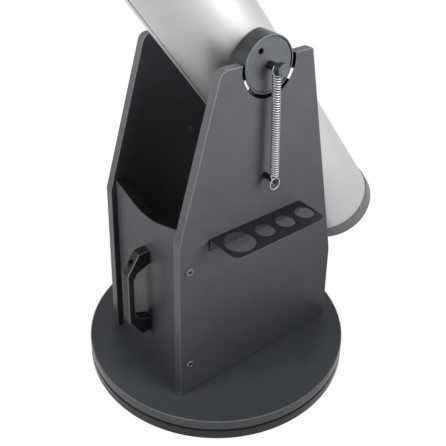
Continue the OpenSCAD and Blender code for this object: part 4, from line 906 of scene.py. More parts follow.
def cradle_circle():
    """Centre (along Y and Z) and radius of the panels' cradles, with more room behind and below the drum."""
    size = sizes()
    low, high = span("altitude_bearing_right", 2)
    return ALTITUDE[1:] + (size.cradle_back, -size.cradle_drop), (high - low) / 2 + size.cradle_gap


class TELESCOPE_OT_panels(bpy.types.Operator):
    """Side panels with sloping edges and half-round cradles"""
    bl_idname = "telescope.panels"
    bl_label = "Side panels"

    def execute(self, context):
        size = sizes()
        kink_round, rear_round = 5 * MM, 3 * MM
        low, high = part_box("side_panel_right")
        centre, radius = cradle_circle()
        drop = high.z - centre[1]
        half = math.sqrt(radius ** 2 - drop ** 2)
        lift = math.asin(drop / radius)
        cradle = centre + arc(radius, np.linspace(lift, -math.pi - lift, 73))
        front = [(centre[0] - half, high.z), (size.top_front, high.z), (low.y, low.z + size.front_kink),
                 (low.y, low.z)]
        front = fillet(front, (0, size.top_round, kink_round, 0), 8, closed=False)[1:]
        rear = [(high.y, low.z), (high.y, low.z + size.rear_kink), (size.top_rear, high.z),
                (centre[0] + half, high.z)]
        rear = fillet(rear, (0, kink_round, rear_round, 0), 6, closed=False)[:-1]
        outline = np.vstack([front, rear, cradle])
        counts = len(front) + len(rear), len(cradle)
        # The front and rear walls take the edge band and their rounded edges a painted highlight; the cradle's
        # walls and edges take painted shade.
        wall, edge = np.repeat((1, 3), counts), np.repeat((2, 3), counts)
        wall[-1], edge[-1], edge[len(front) - 1] = 1, 2, 3
        for side in SIDES:
            node = f"side_panel_{side}"
            start, end = span(node, 0)
            shell = Shell(axes=SIDE_AXES)
            rounded_plate(shell, outline, start, end, size.panel_edge, 0, wall, edge)
            shell.dressed(node, "rocker", "panel_grey", "panel melamine", "panel edge band", "band arris",
                          "flat black paint")
        return {"FINISHED"}


class TELESCOPE_OT_brace(bpy.types.Operator):
    """Front brace with a dipped top"""
    bl_idname = "telescope.brace"
    bl_label = "Front brace"

    def execute(self, context):
        """The dip is an arc, x = r sin a and z = r (1 - cos a), that runs on into straight flanks."""
        size = sizes()
        low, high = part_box("front_brace")
        slope, radius = size.dip_slope, size.dip_radius
        turn = np.linspace(slope, -slope, 25)
        bottom = low.z + size.dip_low
        dip = points_at(radius * np.sin(turn), bottom + radius * (1 - np.cos(turn)))
        end = dip[0, 1] + (high.x - dip[0, 0]) * math.tan(slope)
        lead = 0.5 * MM * np.array([math.cos(slope), math.sin(slope)])
        outline = np.vstack([[(low.x, low.z), (high.x, low.z), (high.x, end)], dip[:1] + lead, dip,
                             dip[-1:] + lead * (-1, 1), [(low.x, end)]])
        shell = Shell(axes=np.array([(1, 0, 0), (0, 0, 1), (0, -1, 0)]))
        # All the brace's edges, the dip's among them, are dark.
        rounded_plate(shell, outline, -high.y, -low.y, size.panel_edge, 0, 1, 1)
        shell.dressed("front_brace", "rocker", "panel_grey", "panel melamine", "dark edge band")
        return {"FINISHED"}


class TELESCOPE_OT_handle(bpy.types.Operator):
    """Moulded carry handle with slanted, counterbored ends, and its two socket screws"""
    bl_idname = "telescope.handle"
    bl_label = "Carry handle"

    def execute(self, context):
        """The outline is drawn in a frame whose x runs out from the brace. Its two slanted sides are left
        open in the plate and filled by drilled faces."""
        size = sizes()
        low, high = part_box("carry_handle")
        middle, half = (low.z + high.z) / 2, (high.z - low.z) / 2
        reach, width = high.y - low.y, size.handle_width
        inner = reach - size.grip_thick
        foot_depth, foot_thick, arch_step, arch_bevel = np.array([21, 26, 10, 22]) * MM
        counterbore, screw_seat, chamfer, screw_edge = np.array([5.5, 8.02, 0.5, 0.4]) * MM
        arch = half - foot_thick
        knee = (inner + 2 * foot_depth) / 3
        grip = size.grip_long / 2
        upper = np.array([(reach, grip), (foot_depth, half), (0, half), (0, arch), (knee, arch - arch_step),
                          (inner, arch - arch_bevel)])
        corners = np.vstack([upper, (upper * (1, -1))[::-1]])
        radii = np.array([3, 3, 0, 0, 12, 12, 12, 12, 0, 0, 3, 3]) * MM
        outline = fillet(corners, radii, 7)
        first = self.slanted_side(outline, upper[0], upper[1])
        mirrored = self.slanted_side(outline, *corners[[-2, -1]])
        shell = Shell((0, high.y, middle), np.array([(0, -1, 0), (0, 0, 1), (-1, 0, 0)]))
        # The handle's rounded edges take slot 1, a painted highlight.
        points = rounded_plate(shell, outline, -width / 2, width / 2, size.handle_edge, 0, 0, 1,
                               (first, mirrored))
        slant = unit(upper[1] - upper[0])
        screw = (half + grip) / 2
        out = reach - (screw - grip) * (reach - foot_depth) / (half - grip)
        for sign, start in ((1, first), (-1, mirrored)):
            face = np.vstack([points[0, start:start + 2], points[1, start:start + 2][::-1]])
            normal = np.array([slant[1], -slant[0] * sign, 0])
            drilled(shell, face, (out, sign * screw, 0), (1, 0, 0), normal, counterbore, out - screw_seat,
                    chamfer)
        shell.dressed("carry_handle", "rocker", "moulded_black", "handle plastic", "rubbed handle edge")
        rounded_copy("handle_screws", "rocker", "black_steel", "black oxide", screw_edge)
        return {"FINISHED"}

    def slanted_side(self, outline, start, end):
        """The number of the point from which the outline runs straight along the line from start to end."""
        shortest = 20 * MM
        slant = unit(end - start)
        along = (outline - start) @ slant
        on_line = np.abs((outline - start) @ (slant[1], -slant[0])) < SAME_POINT
        return np.flatnonzero(on_line & np.roll(on_line, -1) & (np.roll(along, -1) - along > shortest))[0]


class TELESCOPE_OT_rack(bpy.types.Operator):
    """Bent sheet eyepiece rack with one large and three small holes"""
    bl_idname = "telescope.rack"
    bl_label = "Eyepiece rack"

    def execute(self, context):
        """The shelf is cut between its holes into four drilled faces, above and below. The bend and the
        flange are one profile carried along the panel, with x = r sin a and z = r cos a in the bend."""
        size = sizes()
        low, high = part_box("eyepiece_rack")
        sheet, corner = size.rack_sheet, size.rack_corner
        bend, chamfer, screw_edge, highlight_from = 2.6 * MM, 0.3 * MM, 0.6 * MM, 0.55 * sheet
        start = low.x + bend
        holes = [MOUNT[f"rack_hole_{name}"] for name in ("large", "small_1", "small_2", "small_3")]
        spots = [(np.array(hole["pos_m"][:2]), hole["dims"]["r_mm"] * MM) for hole in holes]
        cuts = [(spot[1] + radius + following[1] - narrower) / 2
                for (spot, radius), (following, narrower) in zip(spots, spots[1:])]
        shell = Shell()
        near = fillet([(start, low.y), (high.x, low.y), (high.x, cuts[0])], corner, 10, closed=False)
        far = fillet([(high.x, cuts[2]), (high.x, high.y), (start, high.y)], corner, 10, closed=False)
        between_cuts = [np.array([(start, cut), (high.x, cut), (high.x, following), (start, following)])
                        for cut, following in zip(cuts, cuts[1:])]
        cells = [np.vstack([near, [(start, cuts[0])]]), *between_cuts, np.vstack([[(start, cuts[2])], far])]
        for cell, (spot, radius) in zip(cells, spots):
            for level, up in ((high.z, 1), (high.z - sheet, -1)):
                out = (0, 0, up)
                drilled(shell, raised(cell, level), (*spot, level), out, out, radius, sheet / 2, chamfer,
                        floor=False)
        rim = np.vstack([near, [(high.x, cuts[1])], far])
        # The lower part of the cut edge takes slot 1, a painted highlight.
        wall = np.stack([raised(rim, high.z - depth) for depth in (0, highlight_from, sheet)])
        shell.grid(wall, (0, 1))
        turn = np.linspace(0, math.pi / 2, 7)
        outer = points_at(start - bend * np.sin(turn), high.z - bend * (1 - np.cos(turn)))
        small = bend - sheet
        inner = points_at(start - small * np.sin(turn), high.z - bend + small * np.cos(turn))
        flange = np.vstack([outer, [(low.x, low.z), (low.x + sheet, low.z)], inner[::-1]])
        across = np.array([low.y, *cuts, high.y])
        bent = points_at(flange[:, :1], across, flange[:, 1:])
        shell.grid(bent)
        for end in (0, -1):
            shell.cap(np.vstack([bent[:, end], wall[1:2, end]]))
        shell.dressed("eyepiece_rack", "rocker", "rack_paint", "rack powder coat", "rubbed rack edge")
        rounded_copy("rack_screws", "rocker", "zinc_steel", "black oxide", screw_edge, 3)
        return {"FINISHED"}


class TELESCOPE_OT_bolts(bpy.types.Operator):
    """Hex-socket assembly bolts and the screws of the spring posts"""
    bl_idname = "telescope.bolts"
    bl_label = "Assembly bolts"

    def execute(self, context):
        low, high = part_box("assembly_bolts")
        panel = span("side_panel_right", 0)[1]
        cad_head, socket, screw_edge = np.array([7, 3, 0.8]) * MM
        shell = Shell()
        for sign in SIDES.values():
            shell.axes = facing(SIDE_AXES, sign)
            for height in (low.z + cad_head, high.z - cad_head):
                shell.origin = np.array([sign * panel, (low.y + high.y) / 2, height])
                self.head(shell, sizes().bolt_head, high.x - panel, socket)
        shell.dressed("assembly_bolts", "rocker", "black_steel", "dull nickel", "black oxide")
        rounded_copy("post_screws", "rocker", "zinc_steel", "dull nickel", screw_edge, 3)
        return {"FINISHED"}

    def head(self, shell, radius, height, socket):
        """Rings of points from the panel over the head's rounded edge to the socket, whose hexagon is
        r = socket * cos 30 / cos(a mod 60 - 30), and down to its floor."""
        edge, lead, chamfer, depth = np.array([1.3, 0.3, 0.4, 2.4]) * MM
        angle = circle(60)
        hexagon = socket * math.cos(math.pi / 6) / np.cos(angle % (math.pi / 3) - math.pi / 6)
        turn = np.linspace(0, math.pi / 2, 6)
        dome = np.concatenate([[radius], radius - edge * (1 - np.cos(turn)), [radius - edge - lead]])
        reach = np.vstack([dome[:, None] * np.ones(len(angle)), hexagon + chamfer, hexagon, hexagon])
        level = np.concatenate([[0], height - edge * (1 - np.sin(turn)),
                                [height, height, height - chamfer, height - depth]])
        points = polar(reach, angle, level[:, None])
        shell.grid(points, [0] * (len(level) - 2) + [1], wrap=True)
        shell.cap(points[0])
        shell.cap(points[-1], 1)


# Altitude bearings


class TELESCOPE_OT_drums(bpy.types.Operator):
    """Altitude drums saddled on the tube, their screws and the white pads that carry them"""
    bl_idname = "telescope.drums"
    bl_label = "Altitude drums"
    segments = 144

    def execute(self, context):
        """One profile runs from the axis over the raised hub to the flat ring, and one from there through
        the groove and over the rim to the collar."""
        low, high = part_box("altitude_bearing_right")
        radius, face = (high.z - low.z) / 2, high.x
        rim, hub = radius - sizes().drum_rim, radius / 2
        dish, step, collar, margin = np.array([1, 0.5, 14, 0.1]) * MM
        floor = face - dish - step
        ramp = np.array([(0.4, 0), (1, 0)]) * MM + (hub, floor)
        groove = np.array([(-2.6, 0), (-1.6, 0), (-1.4, -1), (-0.4, -1)]) * MM + (rim, floor)
        side_corners = [(rim - 0.2 * MM, face), (radius, face), (radius, face - collar)]
        hub_rounds = np.array([0, 0.25, 0.25, 0]) * MM
        rim_rounds = np.array([0, 0.2, 0.2, 0.2, 0.3, 1.1, 0]) * MM
        edge = rim_rounds[5]
        inner = open_profile(np.vstack([[(0, face - dish), (hub, face - dish)], ramp]), hub_rounds, 3)
        outer = open_profile(np.vstack([groove, side_corners]), rim_rounds, 4)
        reach, level = ((outer[1:] + outer[:-1]) / 2).T
        # The side takes painted shade (slot 2), and the rim's outer rounding a painted highlight (slot 3).
        side_slot = np.where(level < face - edge, 2, np.where(reach > radius - edge, 3, 0))
        # The groove's floor takes moulded black as painted shade.
        groove_shade_slot = (level < floor - margin).astype(int)
        outer_slot = np.where(reach < rim - margin, groove_shade_slot, side_slot)
        for side, sign in SIDES.items():
            shell = Shell(ALTITUDE, np.array([SKYWARD, TUBE_AXES[1], (sign, 0, 0)]))
            revolve(shell, inner, self.segments)
            revolve(shell, outer, self.segments, outer_slot)
            self.saddle(shell, radius, face - collar)
            self.screw_face(shell, ramp[-1, 0], groove[0, 0], floor)
            shell.piece(f"altitude_drum_{side}", "tube", "bearing_grey",
                        ("drum plastic", "moulded black", "drum side plastic", "drum edge plastic"),
                        (f"altitude_bearing_{side}",))
        paint("dull nickel", "bearing_screws")
        self.pads(radius)
        return {"FINISHED"}

    def saddle(self, shell, radius, start):
        """The drum's side runs down to the tube, and its underside lies on the tube: x = sqrt(R^2 - y^2)."""
        reach = np.concatenate([[radius, radius], np.linspace(radius, 0, 9)[1:]])
        points = polar(reach[:, None], circle(self.segments), 0.0)
        points[:, :, 2] = np.sqrt((TUBE_RADIUS + TUBE_FIT) ** 2 - points[:, :, 1] ** 2)
        points[0, :, 2] = start
        # The saddle takes slot 2, painted shade.
        shell.grid(points, 2, wrap=True)

    def screw_face(self, shell, inner, outer, level):
        """The flat ring of the face: a sector round each screw is drilled, and quads fill the rest."""
        screw_circle, hole, depth, chamfer = np.array([30, 4.4, 15, 0.8]) * MM
        half_sector, half_turn = 7, self.segments // 2
        angle = circle(self.segments)
        near = (np.arange(self.segments) + half_sector) % half_turn < 2 * half_sector
        points = np.stack([raised(arc(reach, angle), level) for reach in (inner, outer)])
        shell.grid(points, wrap=True, keep=~near[None])
        for turn in (0, half_turn):
            sector = (turn + np.arange(-half_sector, half_sector + 1)) % self.segments
            boundary = np.vstack([points[1, sector], points[0, sector[::-1]]])
            centre = polar(screw_circle, angle[turn], level)
            # The screw holes take moulded black (slot 1) as painted shade in them.
            drilled(shell, boundary, centre, (0, 0, 1), (0, 0, 1), hole, depth, chamfer, 1)

    def pads(self, radius):
        """Each pad is an arc of the gap between drum and cradle, carried through the panel's thickness. Its
        outer side lies where a ray from the drum's axis meets the cradle's circle, a little short of it."""
        gap, play, edge = np.array([0.35, 0.05, 0.35]) * MM
        lean, half_arc = 61, 10
        centre, cradle = cradle_circle()
        offset = centre - ALTITUDE[1:]
        turn = np.radians(np.linspace(-half_arc, half_arc, 13))
        shell = Shell(axes=SIDE_AXES)
        for side in SIDES:
            start, end = span(f"side_panel_{side}", 0)
            for degrees in (-lean, lean):
                ray = arc(1, turn + math.radians(degrees - 90))
                lead = ray @ offset
                reach = lead + np.sqrt(cradle ** 2 - offset @ offset + lead ** 2) - play
                outline = np.vstack([(radius + gap) * ray, (reach[:, None] * ray)[::-1]]) + ALTITUDE[1:]
                plate(shell, outline, start, end)
        shell.piece("cradle_pads", "rocker", "glide_white", ("glide polymer",), ("altitude_pads",),
                    bevel=(edge, 2))


class TELESCOPE_OT_tension(bpy.types.Operator):
    """Spacers, tension knobs, wound springs, spring posts and pull rings"""
    bl_idname = "telescope.tension"
    bl_label = "Tension springs"

    def execute(self, context):
        for side, sign in SIDES.items():
            self.spacer(side, sign)
            self.knob(side, sign)
            self.post(side, sign)
            self.pull_ring(side)
            self.spring(side, sign)
        paint("bright zinc", "spring_studs")
        return {"FINISHED"}

    def across(self, sign, origin=ALTITUDE):
        """A frame whose z runs out along X on that side."""
        return Shell((0, origin[1], origin[2]), facing(SIDE_AXES, sign))

    def spacer(self, side, sign):
        """A short collar from inside the drum's dish to just inside the CAD's end. The right one stands for
        both of the CAD's spacers."""
        sunk = 1 * MM
        low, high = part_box("spring_spacers")
        start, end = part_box("altitude_bearing_right")[1].x - sunk, high.x - sunk
        radius = (high.z - low.z) / 2
        shell = self.across(sign)
        corners = [(0, start), (radius, start), (radius, end), (0, end)]
        revolve(shell, open_profile(corners, np.array([0, 0.2, 0.8, 0]) * MM), 64)
        names = ("spring_spacers",) if side == "right" else ()
        shell.piece(f"spring_spacer_{side}", "tube", "moulded_black", ("moulded black",), names)

    def knob(self, side, sign):
        """A round knob with a shallow ring in its face, hollow towards the stud."""
        low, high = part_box(f"tension_knob_{side}")
        start, end = sorted((abs(low.x), abs(high.x)))
        radius = (high.z - low.z) / 2
        play, back, hollow, dish, rim = np.array([0.1, 1.6, 5, 0.1, 1.2]) * MM
        bore = STUD_RADIUS + play
        start += back
        ring = np.array([(-2.4, 0), (-2.7, -0.35), (-3.1, -0.35), (-3.4, 0)]) * MM + (radius, end)
        corners = np.vstack([[(bore, start), (radius, start), (radius, end)], ring, [(0, end - dish)]])
        rounds = np.array([0, 2.5, 1.6, 0.1, 0.05, 0.05, 0.1, 0]) * MM
        profile = np.vstack([[(0, end - hollow), (bore, end - hollow)], open_profile(corners, rounds)])
        shell = self.across(sign)
        # The knob's side below its face rim takes slot 1, painted shade; its face keeps the lighter plastic.
        revolve(shell, profile, 72, (profile[1:, 1] < end - rim).astype(int))
        shell.dressed(f"tension_knob_{side}", f"knob_{side}", "moulded_black", "knob plastic",
                      "drum side plastic")

    def post(self, side, sign):
        """A turned post with a slot near its end for the spring's foot."""
        low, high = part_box(f"spring_post_{side}")
        start, end = sorted((abs(low.x), abs(high.x)))
        radius = (high.z - low.z) / 2
        slot_end = end - POST_CAP
        slot_start = slot_end - POST_SLOT
        shell = self.across(sign, (0, (low.y + high.y) / 2, (low.z + high.z) / 2))
        corners = [(0, start), (radius, start), (radius, slot_start), (POST_NECK, slot_start),
                   (POST_NECK, slot_end), (radius, slot_end), (radius, end), (0, end)]
        revolve(shell, open_profile(corners, np.array([0, 0, 0.7, 0.3, 0.3, 0.6, 0.9, 0]) * MM), 56)
        shell.dressed(f"spring_post_{side}", "rocker", "moulded_black", "moulded black")

    def pull_ring(self, side):
        """A ring of round wire: r = mean + wire cos b, z = wire sin b."""
        low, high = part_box(f"pull_ring_{side}")
        wire = (high.x - low.x) / 2
        mean = (high.z - low.z) / 2 - wire
        shell = Shell((low + high) / 2, SIDE_AXES)
        revolve(shell, arc(wire, np.linspace(0, 2 * math.pi, 15)) + (mean, 0), 72)
        shell.dressed(f"pull_ring_{side}", "rocker", "spring_steel", "drawn spring wire")

    def spring(self, side, sign):
        """One wire: a loop over the stud, a bend, a helix of x = r sin a, y = -r cos a that leans from the
        stud to the post, a bend and an arc under the post."""
        size = sizes()
        wire, coil, turns = size.wire / 2, size.coil_radius, size.coil_turns
        stud_play, post_play, bend, loop = np.array([0.35, 0.15, 1.6, 8.2]) * MM
        top_neck, low_neck, past_spacer, past_slot, apart = np.array([6.2, 3, 1.3, 0.6, 0.02]) * MM
        post_low, post_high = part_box("spring_post_right")
        post = (post_low.z + post_high.z) / 2
        top_radius = STUD_RADIUS + stud_play + wire
        low_radius = POST_NECK + post_play + wire
        hook_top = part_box("spring_spacers")[1].x + past_spacer
        hook_low = post_high.x - POST_CAP - POST_SLOT + past_slot + wire
        top = ALTITUDE[2] - top_radius - top_neck
        bottom = post + low_radius + low_neck
        first = math.asin(bend / coil)
        over, under = (np.radians(np.linspace(*ends, 41)) for ends in ((-60, 215), (180, 420)))
        quarter = np.linspace(0, math.pi / 2, 7)
        steps_per_turn = 20
        helix = np.linspace(first, 2 * math.pi * turns - first, turns * steps_per_turn + 1)

        def hook(radius, turn, level):
            return points_at(0.0, radius * np.cos(turn), level + radius * np.sin(turn))

        rise, fall = bend * (1 - np.cos(quarter)), bend * (1 - np.sin(quarter))
        heights = top + (bottom - top) * np.linspace(0, 1, len(helix))
        path = np.vstack([hook(loop, over, ALTITUDE[2] + top_radius - loop),
                          points_at(rise, -top_radius, top + fall),
                          points_at(coil * np.sin(helix), -coil * np.cos(helix), heights),
                          points_at(-fall, -low_radius, bottom - rise),
                          hook(low_radius, under, post)])
        aside = np.tile((0.0, -1.0, 0.0), (len(quarter), 1))
        outwards = np.vstack([hook(1, over, 0), aside, points_at(np.sin(helix), -np.cos(helix), 0.0),
                              aside, hook(1, under, 0)])
        fresh = np.concatenate([[True], np.linalg.norm(np.diff(path, axis=0), axis=1) > apart])
        path, outwards = path[fresh], outwards[fresh]
        lean = np.clip((top - path[:, 2]) / (top - bottom), 0, 1)
        path[:, 0] += hook_top + (hook_low - hook_top) * lean
        path[:, 1] += ALTITUDE[1]
        shell = Shell(axes=np.diag([sign, 1, 1]))
        # The wire's inner side, towards the coil's axis, takes slot 1, painted shade between the turns.
        sweep(shell, path, outwards, wire, 12, (0, 1))
        shell.piece(f"tension_spring_{side}_wound", "rocker", "spring_steel",
                    ("drawn spring wire", "oiled spring wire"), (f"tension_spring_{side}",))


# Optical tube


class TELESCOPE_OT_tube(bpy.types.Operator):
    """Rolled tube with its seam, flat black inside and the focuser's hole"""
    bl_idname = "telescope.tube"
    bl_label = "Optical tube"

    def execute(self, context):
        """Two grids of columns round the tube and rows along it, outside and inside. Columns start at the
        focuser, and a block of faces there is left out for the ring round its hole."""
        bore = TUBE_RADIUS - sizes().tube_wall
        low, high = REAR_END + RING_LIP, FRONT_END - RING_LIP
        end_row, half_block, block_rows, block_columns = 2 * MM, 42 * MM, 15, 16
        roll = math.atan2(FOCUS_OUT @ TUBE_AXES[1], FOCUS_OUT[0])
        seam, seam_depth, beside_seam = math.radians(-86), 0.4 * MM, 0.01
        seam_sides = np.array([-1.6, -1.2, 1.2, 1.6]) * MM / TUBE_RADIUS
        groove = roll + (seam + seam_sides - roll) % (2 * math.pi)
        columns = roll + circle(180)
        clear = (columns < groove[0] - beside_seam) | (columns > groove[-1] + beside_seam)
        columns = np.sort(np.concatenate([columns[clear], groove]))
        beside = FOCUS_AT + np.linspace(-half_block, half_block, block_rows)
        rows = np.concatenate([[low, low + end_row], beside, [high - end_row, high]])
        keep = np.ones((len(rows) - 1, len(columns)), bool)
        keep[2:block_rows + 1, :block_columns] = False
        keep[2:block_rows + 1, -block_columns:] = False
        depth = np.where(np.isin(columns, groove[1:3]), seam_depth, 0)
        # The seam groove's faces take slot 2, painted shade.
        seam_shade = np.where((columns >= groove[0]) & (columns < groove[-1]), 2, 0)
        shell = Shell(ALTITUDE, TUBE_AXES)
        rims, ends = [], []
        for radius, slot, drop in ((TUBE_RADIUS, seam_shade[None], depth), (bore, 1, 0)):
            points = polar(radius - drop, columns, rows[:, None])
            shell.grid(points, slot, wrap=True, keep=keep)
            rims.append(self.hole(shell, radius, roll, columns, beside, block_columns, int(radius == bore)))
            ends.append(points[[0, -1]])
        shell.grid(np.stack(rims), 1, wrap=True)
        for outside, inside in zip(*ends):
            shell.grid(np.stack([outside, inside]), 1, wrap=True)
        shell.piece("tube_shell", "tube", "tube_silver",
                    ("silver lacquer", "flat black paint", "seam lacquer"), ("optical_tube",), sharp=50.0)
        return {"FINISHED"}

    def hole(self, shell, radius, roll, columns, side, block_columns, slot):
        """A ring of faces from the block's edge to the drawtube's hole, where (R sin a)^2 + z^2 = r^2."""
        hole, hair = 31.2 * MM, 1e-9
        turn = columns - roll
        turn = np.where(turn > math.pi, turn - 2 * math.pi, turn)
        right, left = turn[block_columns], turn[-block_columns]
        lower = np.sort(turn[(turn >= left - hair) & (turn <= right + hair)])
        sides = (lower, side[0]), (right, side), (lower[::-1], side[-1]), (left, side[::-1])
        edge = np.vstack([points_at(*turn_and_place)[:-1] for turn_and_place in sides])
        bearing = np.arctan2(edge[:, 1] - FOCUS_AT, edge[:, 0] * radius)
        rim = points_at(np.arcsin(hole * np.cos(bearing) / radius), FOCUS_AT + hole * np.sin(bearing))
        flat = edge + (rim - edge) * np.linspace(0, 1, 5)[:, None, None]
        points = polar(radius, roll + flat[:, :, 0], flat[:, :, 1])
        shell.grid(points, slot, wrap=True)
        return points[-1]


class TELESCOPE_OT_rings(bpy.types.Operator):
    """Lacquered end rings with rounded outer edges"""
    bl_idname = "telescope.rings"
    bl_label = "End rings"

    def execute(self, context):
        outer = MOUNT["cap_seat"]["dims"]["r_mm"] * MM
        seat = TUBE_RADIUS + TUBE_FIT
        bore = TUBE_RADIUS - sizes().tube_wall
        wide, rear_lip, front_lip = np.array([29, 9, 4]) * MM
        rings = ("rear_ring", REAR_END, 1, rear_lip), ("front_ring", FRONT_END, -1, front_lip)
        for node, end, sign, inside in rings:
            shell = Shell(ALTITUDE + end * SKYWARD, facing(TUBE_AXES, sign))
            corners = [(bore - inside, 0), (outer, 0), (outer, wide), (seat, wide), (seat, RING_LIP),
                       (bore - inside, RING_LIP)]
            revolve(shell, closed_profile(corners, np.array([1.0, 3.0, 0.7, 0.2, 0, 0.8]) * MM, 6), 180)
            shell.dressed(node, "tube", "ring_grey", "ring lacquer")
        return {"FINISHED"}


class TELESCOPE_OT_mirror(bpy.types.Operator):
    """Primary mirror, its cell and clips, and the fluted collimation knobs"""
    bl_idname = "telescope.mirror"
    bl_label = "Primary mirror"

    def execute(self, context):
        self.primary()
        rounded_copy("cell_base", "tube", "cell_black", "black casting", width=0.8 * MM)
        rounded_copy("mirror_cell", "mirror", "cell_black", "black casting", width=0)
        rounded_copy("mirror_clips", "mirror", "moulded_black", "moulded black", width=0.4 * MM)
        self.knobs()
        paint("bright zinc", "cell_screws")
        paint("black rubber", "collimation_bushes")
        return {"FINISHED"}

    def primary(self):
        """A glass disc whose face is hollow by r^2 / 4f towards the middle, below a narrow chamfer."""
        radius, back, thick, focal, chamfer, back_chamfer = np.array([76, -479, 22, 1200, 1, 0.6]) * MM
        reach = np.linspace(0, radius - chamfer, 24)
        sag = (radius ** 2 - reach ** 2) / (4 * focal)
        face = points_at(reach, back + thick - sag)
        edge = [(radius, back + thick - chamfer), (radius, back + back_chamfer),
                (radius - back_chamfer, back), (0, back)]
        shell = Shell(ALTITUDE, TUBE_AXES)
        revolve(shell, np.vstack([face, edge]), 144, [0] * (len(face) - 1) + [1] * len(edge))
        shell.dressed("primary_mirror", "mirror", "mirror_coat", "mirror coat", "ground glass", sharp=20.0)

    def knobs(self):
        """Three fluted knobs on a circle behind the cell, each with its threaded stud."""
        knob_circle = 52 * MM
        stud = np.array([(0, -500), (2.5, -500), (2.5, -480.6), (2.2, -480.3), (0, -480.3)]) * MM
        for number, degrees in enumerate((90, 210, 330), 1):
            shell = Shell(ALTITUDE + knob_circle * from_tube(math.radians(degrees)), TUBE_AXES)
            fluted(shell, radius=9 * MM, low=-511.08 * MM, high=-499.08 * MM, flutes=8, depth=1.1 * MM,
                   chamfer=0.9 * MM)
            revolve(shell, stud, 32, 1)
            shell.dressed(f"collimation_knob_{number}", f"collimator_{number}", "moulded_black",
                          "moulded black", "bright zinc")


class TELESCOPE_OT_spider(bpy.types.Operator):
    """Spider vanes with their nuts, and the diagonal mirror in its holder"""
    bl_idname = "telescope.spider"
    bl_label = "Spider and diagonal"

    def execute(self, context):
        rounded_copy("spider", "tube", "black_steel", "black oxide", width=0.2 * MM)
        rounded_copy("spider_nuts", "tube", "black_steel", "black oxide", width=0.5 * MM)
        rounded_copy("secondary_holder", "tube", "moulded_black", "moulded black", width=0.4 * MM)
        paint("mirror coat", "secondary_mirror")
        paint("bright zinc", "secondary_screws")
        return {"FINISHED"}


class TELESCOPE_OT_focuser(bpy.types.Operator):
    """Rack and pinion focuser with its drawtube, fluted knobs, eyepiece and lock screw"""
    bl_idname = "telescope.focuser"
    bl_label = "Focuser and eyepiece"

    def execute(self, context):
        rounded_copy("focuser_body", "tube", *ANODISED, width=0.7 * MM, steps=3)
        rounded_copy("drawtube", "draw", *ANODISED, width=0.35 * MM)
        self.knobs()
        self.eyepiece()
        self.lock()
        paint("bright zinc", "focus_shaft")
        return {"FINISHED"}

    def knobs(self):
        """A fluted knob with a bright disc in its face at each end of the shaft."""
        bore = 2.6
        disc = np.array([(bore, 50.6), (9.5, 50.9), (10, 50.5), (bore, 50.6)]) * MM
        shell = Shell(JOINT["focus_turn"]["pos_m"])
        for sign in (1, -1):
            shell.axes = np.array([FOCUS_AXES[0], FOCUS_AXES[2], sign * FOCUS_AXES[1]])
            fluted(shell, radius=17 * MM, low=35 * MM, high=51 * MM, flutes=24, depth=0.9 * MM,
                   chamfer=1.1 * MM, bore=bore * MM)
            revolve(shell, disc, 48, 1)
        shell.dressed("focus_knobs", "focus_drive", "moulded_black", "moulded black", "bright zinc")

    def eyepiece(self):
        """A revolved barrel, a body with three grip grooves, a folded rubber guard and a domed eye lens."""
        base, barrel, bore, body, waist, lens, lens_at, lens_rise = 169.5, 15.87, 13.95, 18, 17.3, 9, 25, 1.1
        grooves = [(reach, rise + step) for rise in (5, 9, 13)
                   for reach, step in ((body, 0), (waist, 0.6), (waist, 2), (body, 2.6))]
        metal = [(bore, -15), (bore, -26), (barrel, -26), (barrel, 0), (body, 0), *grooves, (body, 18)]
        rounds = np.array([0, 0.3, 0.4, 0.2, 0.6] + [0.25] * len(grooves) + [0]) * MM
        guard = np.array([(body, 18), (body, 27), (15, 28), (12, 27), (lens, lens_at)]) * MM
        reach = np.linspace(lens, 0, 8)
        dome = points_at(reach, lens_at + lens_rise * (1 - (reach / lens) ** 2)) * MM
        shell = Shell(FOCUS_ORIGIN + base * MM * FOCUS_OUT, FOCUS_AXES)
        revolve(shell, np.vstack([[(0, -15 * MM)], open_profile(np.array(metal) * MM, rounds, 3)]), 72)
        revolve(shell, open_profile(guard, np.array([0, 2.2, 1.5, 1.5, 0]) * MM), 72, 1)
        revolve(shell, dome, 72, 2)
        shell.dressed("eyepiece", "draw", *ANODISED, "black rubber", "lens glass")

    def lock(self):
        """A fluted thumb screw whose stem points at the drawtube's axis."""
        pivot = np.array(JOINT["lock_turn"]["pos_m"], float)
        out = np.array(JOINT["lock_turn"]["axis"], float)
        side = FOCUS_AXES[1]
        centre = FOCUS_ORIGIN + ((pivot - FOCUS_ORIGIN) @ FOCUS_OUT) * FOCUS_OUT
        stem = np.array([(0, 15.97), (1.6, 15.97), (2, 16.3), (2, 28.5), (0, 28.5)]) * MM
        shell = Shell(centre, np.array([side, np.cross(out, side), out]))
        fluted(shell, radius=5.5 * MM, low=28 * MM, high=35 * MM, flutes=20, depth=0.35 * MM,
               chamfer=0.6 * MM, sides=160)
        revolve(shell, stem, 32)
        shell.dressed("eyepiece_lock", "lock", "zinc_steel", "bright zinc")


